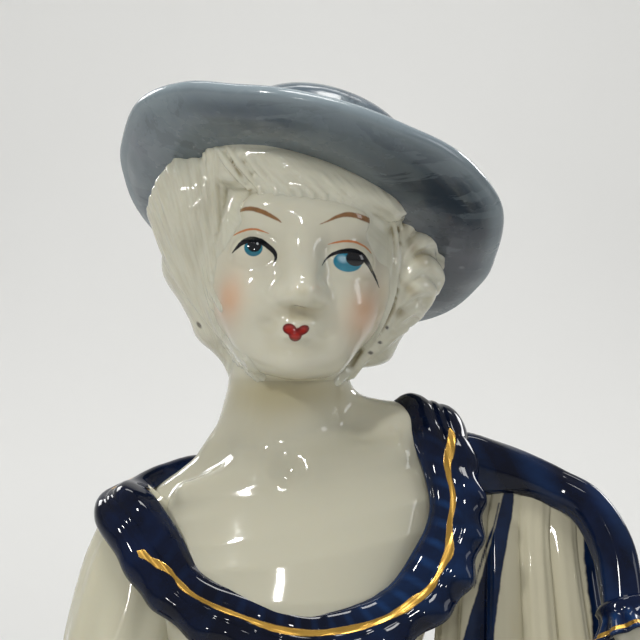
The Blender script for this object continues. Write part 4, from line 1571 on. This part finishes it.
# ------------------------------------------------------------------------------------------------ bodice
BO = [(0.0, 0.0, 127.6, 9.4, 8.0), (0.0, 0.0, 128.6, 9.6, 8.2), (0.0, -0.2, 133.5, 10.9, 9.0), (0.0, -0.8, 139.5, 13.6, 10.8), (-0.2, -1.0, 145.5, 15.8, 11.8), (-0.4, -0.8, 151.0, 17.4, 11.2)]
n, m = (420), (110)
c = spline(BO, m)
t = np.linspace(0, 2 * math.pi, n, endpoint=False)[:, None]
front = np.exp(-((np.mod(t - 1.5 * math.pi + math.pi, 2 * math.pi) - math.pi) / 0.30) ** 2)
z = c[None, :, 2]
full = np.exp(-((z - 144.5) / 5.0) ** 2)
busts = sum(np.exp(-((np.mod(t - a + math.pi, 2 * math.pi) - math.pi) / 0.42) ** 2) for a in (1.5 * math.pi - 0.62, 1.5 * math.pi + 0.62))
seams = sum(np.exp(-((np.mod(t - a + math.pi, 2 * math.pi) - math.pi) / 0.022) ** 2) for a in (4.71 - 0.95 + 0.0, 4.71 + 0.95, 0.35, 2.79, 1.57))
k = 1 + 0.055 * full * busts - 0.014 * seams - 0.02 * front * full
k = k + 0.006 * np.cos(30 * t) * np.exp(-((z - 129) / 2.5) ** 2)
gx = c[None, :, 0] + c[None, :, 3] * np.cos(t) * k
gy = c[None, :, 1] + c[None, :, 4] * np.sin(t) * k
g = np.stack([gx, gy, z + 0 * t], -1)
v = np.vstack([g.reshape(-1, 3), [(0, 0, BO[0][2])], [(-0.4, -0.8, 151.0)]])
f = [tuple(q) for q in grid_faces(n, m, True, False)]
for i in range(n):
    j = (i + 1) % n
    f.append((j * m, i * m, n * m))
    f.append((i * m + m - 1, j * m + m - 1, n * m + 1))
xx, zz = v[:, 0], v[:, 2]
fr = v[:, 1] < -3
lace_z = np.mod(zz - 130.0, 3.6) - 1.8
half = 1.0 + (zz - 128) * 0.085
cross = 0.24 - np.minimum(np.abs(lace_z - xx / half * 1.6), np.abs(lace_z + xx / half * 1.6)) * 0.75
lace = np.where(fr & (np.abs(xx) < half), cross, -2)
edge_l = np.where(fr, 0.34 - np.abs(np.abs(xx) - half - 0.25), -2)
make("bodice", v, f, "striped", node="bodice",
     attrs={"stripe": np.stack([np.maximum(lace, edge_l) / 0.9, np.where(fr, 0.30 - np.hypot(np.abs(xx) - half - 1.1, lace_z), -1), xx * 0], 1),
            "cav": np.concatenate([(seams * 0.8 + 0 * z).reshape(-1), [0, 0]]), "ridge": xx * 0})


# ------------------------------------------------------------------------------------------------ sash, bow and tails
def loop_ring(name, cross_rows, mat, node, attrs):
    """Ring of closed sections: array n by m by 3."""
    n_, m_ = cross_rows.shape[:2]
    return make(name, cross_rows.reshape(-1, 3), grid_faces(n_, m_, True, True), mat, node=node, attrs=attrs)


n = 420
t = np.linspace(0, 2 * math.pi, n, endpoint=False)[:, None]
u = np.concatenate([np.linspace(0, 1, 26), np.linspace(0.97, 0.03, 10)])[None, :]
outer = np.concatenate([np.ones(26), np.zeros(10)])[None, :]
zz = 124.9 + 6.0 * u + 0.25 * np.sin(2 * t) * outer
rel = np.sin(math.pi * np.clip(u, 0, 1)) ** 0.35
wr = 0.22 * np.sin(u * 17 + 0.9 * np.sin(3 * t + 1) + 0.5 * np.sin(5 * t)) * outer
kx = 11.5 + 0.9 * rel + wr
ky = 9.7 + 0.9 * rel + wr
kx = np.where(outer > 0.5, kx, 9.9)
ky = np.where(outer > 0.5, ky, 8.5)
g = np.stack([kx * np.cos(t), ky * np.sin(t), zz], -1)
du = np.minimum(np.abs(u - 0.10), np.abs(u - 0.90)) * 6.0 + 0 * t
loop_ring("sash", g, "cobalt_gold", "sash", {
    "ridge": (np.clip(wr * 3.0, 0, 1) * 0.9).reshape(-1), "gold": np.stack([du.reshape(-1) * 8.5, np.where(np.broadcast_to(outer > 0.5, du.shape).reshape(-1), 2.2, -99), du.reshape(-1) * 0], 1)})

GBW = Grid((-13.5, 7.5, 121.5), (13.5, 17.8, 134.0), 0.17)
P = GBW.P
bow = ell(P, (0, 12.9, 128.2), (2.0, 2.3, 2.4))
for sgn in (-1, 1):
    R = rot("Y", -sgn * 12)
    loop_o = ell(P, (sgn * 5.9, 12.7, 129.0), (5.9, 2.5, 3.7), R)
    hollow = ell(P, (sgn * 8.0, 12.7, 129.4), (4.6, 1.35, 2.9), R)
    loop_o = smax(loop_o, -hollow, F(0.5))
    pinch = np.sin((P[2] - F(129.0)) * F(2.6) + P[0] * F(0.2)) * F(0.16) * np.exp(-((np.abs(P[0]) - F(2.8)) / F(2.2)) ** 2)
    bow = smin(bow, loop_o + pinch, F(0.5))
bow = bow + F(0.12) * np.sin(P[0] * F(3.1)) * np.exp(-(P[0] / F(2.0)) ** 2)
bow = np.maximum(bow, np.sqrt((P[0] / F(12.2)) ** 2 + (P[1] / F(10.4)) ** 2) * F(-10.4) + F(10.4))
v, q = GBW.mesh(bow)
v, q = main_part(v, q)
v = settle(bow, GBW, v, 1)
rim = np.abs(np.hypot((np.abs(v[:, 0]) - 8.4) / 3.7, (v[:, 2] - 129.9) / 3.2) - 1.0) * 3.0
make("sash_bow", v, q, "cobalt_gold", node="sash_bow",
     attrs={"ridge": np.clip(0.5 * np.sin(v[:, 2] * 2.6) * (np.abs(v[:, 0]) < 6) + 0.1, 0, 1), "gold": np.stack([rim * 8.5, np.where(v[:, 1] > 13.4, 1.7, -9), rim * 0], 1)})

tv, tf, tg, tr = [], [], [], []
for sgn in (-1, 1):
    c = spline([(127.0, 13.0, 1.0, 1.3, 0.62), (122.0, 17.0, 2.1, 1.7, 0.62), (116.0, 21.0, 3.3, 2.15, 0.62), (108.0, 24.5, 4.8, 2.7, 0.62), (98.4, 27.4, 6.1, 3.25, 0.62)], 60)
    mm_ = 44
    ua = np.linspace(0, 2 * math.pi, mm_, endpoint=False)
    base_i = len(tv)
    n_ = len(c)
    for i, (z_, y_, x_, w_, h_) in enumerate(c):
        s_ = i / (n_ - 1)
        xo = w_ * np.sign(np.cos(ua)) * np.abs(np.cos(ua)) ** 0.7
        yo = h_ * np.sign(np.sin(ua)) * np.abs(np.sin(ua)) ** 0.7
        ripple = 0.42 * s_ * np.sin(xo * 1.5 + s_ * 5 * sgn) + 0.25 * np.sin(s_ * 9)
        notch_z = -1.4 * max(0, s_ - 0.8) / 0.2 * (1 - np.abs(xo) / w_) * -1
        for k_ in range(mm_):
            tv.append((sgn * x_ + xo[k_], y_ + yo[k_] + ripple[k_], z_ + notch_z[k_]))
            tg.append(w_ - abs(xo[k_]))
            tr.append(0.5 + 0.5 * math.sin(xo[k_] * 1.5 + s_ * 5 * sgn))
    tf += [tuple(base_i + q_ for q_ in k_) for k_ in grid_faces(n_, mm_, False, True)]
    tf.append(tuple(base_i + q_ for q_ in range(mm_)))
    tf.append(tuple(base_i + (n_ - 1) * mm_ + q_ for q_ in range(mm_))[::-1])
tv, tg, tr = np.array(tv), np.array(tg), np.array(tr)
make("sash_tails", tv, tf, "cobalt_gold", node="sash_tails",
     attrs={"ridge": tr * 0.5, "gold": np.stack([np.abs(tg - 0.62) * 8.5, np.full(len(tv), 1.9), tg * 0], 1)})


# ------------------------------------------------------------------------------------------------ cuffs and hands
def frill(name, a, b, r0, flare, length, node):
    a, b = np.array(a, float), np.array(b, float)
    d = (b - a) / np.linalg.norm(b - a)
    x = np.cross(np.array([0, 1.0, 0]), d)
    x /= np.linalg.norm(x)
    y = np.cross(d, x)
    n_ = 520
    rows, ang = [], np.linspace(0, 2 * math.pi, n_, endpoint=False)
    info = []
    for th in ang:
        o = x * math.cos(th) + y * math.sin(th)
        wv = 0.42 * math.cos(12 * th + 0.4 * math.sin(3 * th))
        sc = [(r0 - 0.3, -1.0, 0, 0), (r0 + 0.35, -1.25, 0.05, 0), (r0 + 0.75, -0.7, .15, 0), (r0 + 0.5 + wv * .15, 0.0, .25, 0)]
        for s_ in (0.2, 0.4, 0.6, 0.8, 0.92):
            sc.append((r0 + 0.4 + flare * (s_**1.3) * 0.93 + wv * s_, length * s_, 0.3 + 0.7 * s_, 1))
        sc += [(r0 + flare + wv + 0.25, length * 0.99, 1.0, 1), (r0 + flare + wv + 0.1, length + 0.28, 1.0, 0), (r0 + flare + wv - 0.5, length + 0.1, 1.0, 0)]
        for s_ in (0.75, 0.5, 0.25, 0.0):
            sc.append((max(0.5, r0 - 0.75) + flare * (s_**1.3) * 0.9 + wv * s_ * 0.9, length * s_ + 0.1, 0.3, 0))
        rows.append([b + o * r_ + d * l_ for r_, l_, _, _ in sc])
        info.append([(w_, k_, 0.5 + 0.5 * math.cos(12 * th + 0.4 * math.sin(3 * th))) for _, _, w_, k_ in sc])
    g_, inf_ = np.array(rows), np.array(info).reshape(-1, 3)
    gd_ = np.abs(inf_[:, 0] - 0.86) * 5.0
    make(name, g_.reshape(-1, 3), grid_faces(n_, g_.shape[1], True, True), "cobalt_gold", node=node,
         attrs={"ridge": inf_[:, 2] * 0.55 * inf_[:, 1], "gold": np.stack([gd_ * 8.5, np.where(inf_[:, 1] > 0.5, 2.6, -99), gd_ * 0], 1)})


frill("right_cuff", (-25.8, -5.2, 134.4), (-25.4, -6.8, 132.2), 3.9, 2.6, 3.4, "right_cuff")
frill("left_cuff", (37.0, -5.2, 154.2), (38.4, -8.0, 149.0), 2.6, 2.0, 3.0, "left_cuff")


def unit(q):
    q = np.asarray(q, float)
    return q / np.linalg.norm(q)


def hand_piece(name, arm, wrist, direction, palm_normal, side, lo, hi, curl, node):
    """Forearm, palm, four jointed fingers and a thumb as one glazed mass."""
    GH = Grid(lo, hi, 0.14)
    P_ = GH.P
    d = unit(direction)
    ac = unit(np.cross(palm_normal, d))
    nm = np.cross(d, ac)
    wrist = np.array(wrist, float)

    def at(a_, n_, l_):
        return wrist + ac * a_ + nm * n_ + d * l_
    f_ = None
    for p, q_ in zip(arm[:-1], arm[1:]):
        k_ = cone(P_, p[:3], q_[:3], p[3], q_[3])
        f_ = k_ if f_ is None else smin(f_, k_, F(0.5))
    palm = smin(cone(P_, at(-0.9, 0, 0.8), at(-1.15, 0.1, 3.2), 1.05, 0.86), cone(P_, at(0.8, 0, 0.8), at(1.05, 0.1, 3.1), 1.05, 0.82), F(1.0))
    f_ = smin(f_, palm, F(1.1))
    for i_, (a_, L_, bend) in enumerate(((-1.62, 3.2, 0.9), (-0.56, 3.9, 0.5), (0.50, 3.7, 0.35), (1.48, 3.0, 0.6))):
        p0 = at(a_, 0.0, 3.2)
        v1 = unit(d + ac * a_ * 0.06 - nm * (0.10 + curl * 0.3 * bend))
        p1 = p0 + v1 * L_ * 0.42
        v2 = unit(d + ac * a_ * 0.05 - nm * (0.35 + curl * bend))
        p2 = p1 + v2 * L_ * 0.34
        v3 = unit(d + ac * a_ * 0.03 - nm * (0.60 + curl * 1.6 * bend))
        p3 = p2 + v3 * L_ * 0.28
        fin = smin(cone(P_, p0, p1, 0.64, 0.56), cone(P_, p1, p2, 0.57, 0.50), F(0.15))
        fin = smin(fin, cone(P_, p2, p3, 0.50, 0.40), F(0.15))
        f_ = smin(f_, fin, F(0.28))
    t0_, t1_, t2_ = at(side * 1.3, -0.3, 0.9), at(side * 2.6, -0.9, 2.5), at(side * 2.8, -1.5, 4.1)
    th = smin(cone(P_, t0_, t1_, 0.92, 0.66), cone(P_, t1_, t2_, 0.66, 0.46), F(0.2))
    f_ = smin(f_, th, F(0.6))
    v_, q_ = GH.mesh(f_)
    v_, q_ = main_part(v_, q_)
    v_ = settle(f_, GH, v_, 1)
    make(name, v_, q_, "skin_plain", node=node, attrs={"cav": np.clip(hollowness(f_, GH, v_, 0.7) * 1.5 - 0.2, 0, 1) * 0.7})


hand_piece("right_hand", [(-25.5, -6.2, 133.4, 2.9), (-25.0, -8.4, 130.4, 2.8), (-21.6, -12.8, 127.6, 2.4), (-17.4, -16.8, 125.8, 1.65), (-15.6, -18.0, 125.2, 1.6)],
           (-15.6, -18.0, 125.2), (0.86, -0.30, -0.30), (0.2, -0.55, 0.8), 1, (-29.5, -25.5, 118.5), (-4.0, -2.5, 137.5), 0.35, "right_hand")
hand_piece("left_hand", [(38.0, -7.2, 150.6, 1.9), (38.8, -8.8, 147.2, 1.9), (39.6, -10.2, 143.0, 1.5), (39.9, -10.7, 141.0, 1.55)],
           (39.9, -10.7, 141.0), (0.10, -0.22, -0.97), (0.2, -0.95, 0.2), -1, (33.0, -18.0, 130.5), (45.2, -3.5, 153.5), 0.25, "left_hand")


# ------------------------------------------------------------------------------------------------ stage
def stage():
    N = Nodes("paper")
    place = N.split(N.coord())
    wall = N.step(place["Y"], 0.35, 0.85)
    c = N.mix(N.noise(3, 2, 0.5), (0.76, 0.76, 0.745), (0.80, 0.80, 0.79))
    c = N.mix(wall, N.mix(N.noise(3, 2, 0.5), (0.50, 0.50, 0.49), (0.54, 0.54, 0.53)), c)
    p = N.new("ShaderNodeBsdfPrincipled")
    N.put(p.inputs["Base Color"], c)
    p.inputs["Roughness"].default_value = 0.85
    far = N.math("SQRT", N.math("ADD", N.math("MULTIPLY", place["X"], place["X"]), N.math("MULTIPLY", place["Y"], place["Y"])))
    glow = N.math("MULTIPLY", N.step(far, 0.15, 1.5), N.math("SUBTRACT", 1.12, N.math("MULTIPLY", N.step(place["Y"], 0.2, 0.7), 1.12)))
    sides = N.math("MULTIPLY", N.step(N.math("ABSOLUTE", place["X"]), 0.5, 1.7), N.math("MULTIPLY", N.step(place["Y"], 0.2, 0.7), 0.40))
    high = N.math("MULTIPLY", N.step(place["Z"], 0.15, 0.42), 0.055)
    lift = N.math("ADD", N.math("ADD", glow, sides), high)
    ray = N.new("ShaderNodeLightPath")
    N.put(p.inputs["Emission Color"], c)
    N.put(p.inputs["Emission Strength"], N.math("MULTIPLY", lift, ray.outputs["Is Camera Ray"]))
    N.link(p.outputs[0], N.out.inputs[0])
    # a paper sweep: floor that curves up into a backdrop
    prof = [(-7.0, 0.0), (-2.0, 0.0), (0.0, 0.0), (0.55, 0.0)] + [(0.55 + 0.45 * math.sin(a), 0.45 - 0.45 * math.cos(a)) for a in np.linspace(0.1, math.pi / 2, 16)] + [(1.0, 1.9)]
    verts, faces = [], []
    for y, z in prof:
        verts += [(-7.0, y, z), (7.0, y, z)]
    for i in range(len(prof) - 1):
        faces.append((2 * i, 2 * i + 1, 2 * i + 3, 2 * i + 2))
    me = bpy.data.meshes.new("sweep")
    me.from_pydata(verts, [], faces)
    me.polygons.foreach_set("use_smooth", [True] * len(faces))
    me.materials.append(MAT["paper"])
    ob = bpy.data.objects.new("sweep", me)
    bpy.context.scene.collection.objects.link(ob)

    def area(name, loc, target, size, power, colour=(1, 1, 1), shape="RECTANGLE", size_y=None):
        d = bpy.data.lights.new(name, "AREA")
        d.energy = power
        d.color = colour
        d.shape = shape
        d.size = size
        if size_y:
            d.size_y = size_y
        o = bpy.data.objects.new(name, d)
        o.location = loc
        o.rotation_euler = (Vector(target) - Vector(loc)).to_track_quat("-Z", "Y").to_euler()
        bpy.context.scene.collection.objects.link(o)
        return o

    mid = (0.0, 0.0, 0.15)
    area("window_left", (-0.42, -0.50, 0.62), mid, 0.05, 1.9, (1.0, 0.99, 0.96), size_y=0.09)
    area("window_small", (-0.10, -0.62, 0.30), mid, 0.03, 0.35, (1.0, 0.99, 0.96), size_y=0.04)
    area("top", (0.05, -0.16, 0.85), mid, 0.34, 2.8, (1.0, 0.995, 0.975), size_y=0.16)
    area("fill_right", (0.80, -0.25, 0.40), mid, 0.20, 0.8, (0.95, 0.97, 1.0), size_y=0.45)
    area("back_left", (-0.5, 0.50, 0.55), mid, 0.20, 1.2, (1, 1, 1), size_y=0.20)
    area("back_right", (0.5, 0.50, 0.50), mid, 0.20, 1.2, (1, 1, 1), size_y=0.20)
    area("wall_wash", (0.0, 0.45, 1.25), (0.0, 1.0, 0.25), 1.2, 5.2, (1, 1, 0.99), size_y=0.2)
    w = bpy.data.worlds.new("studio")
    w.use_nodes = True
    w.node_tree.nodes["Background"].inputs[0].default_value = (0.86, 0.86, 0.85, 1)
    w.node_tree.nodes["Background"].inputs[1].default_value = 0.33
    tree = w.node_tree
    path = tree.nodes.new("ShaderNodeLightPath")
    seen = tree.nodes.new("ShaderNodeMix")
    seen.data_type = "FLOAT"
    seen.inputs[2].default_value = 0.33
    seen.inputs[3].default_value = 0.78
    tree.links.new(path.outputs["Is Camera Ray"], seen.inputs[0])
    tree.links.new(seen.outputs[0], tree.nodes["Background"].inputs[1])
    bpy.context.scene.world = w
    cam = bpy.data.cameras.new("camera")
    cam.sensor_width = 36
    cam.lens = 36 * 188.0 / (640 * MM_PX * 188.0)
    cam.clip_start = 0.005
    co = bpy.data.objects.new("camera", cam)
    co.location = (CAM[0] / 1000, CAM[1] / 1000, CAM[2] / 1000)
    co.rotation_euler = (math.radians(90), 0, 0)
    bpy.context.scene.collection.objects.link(co)
    bpy.context.scene.camera = co
    bpy.context.scene.view_settings.view_transform = "Standard"
    bpy.context.scene.view_settings.exposure = 0.0


stage()
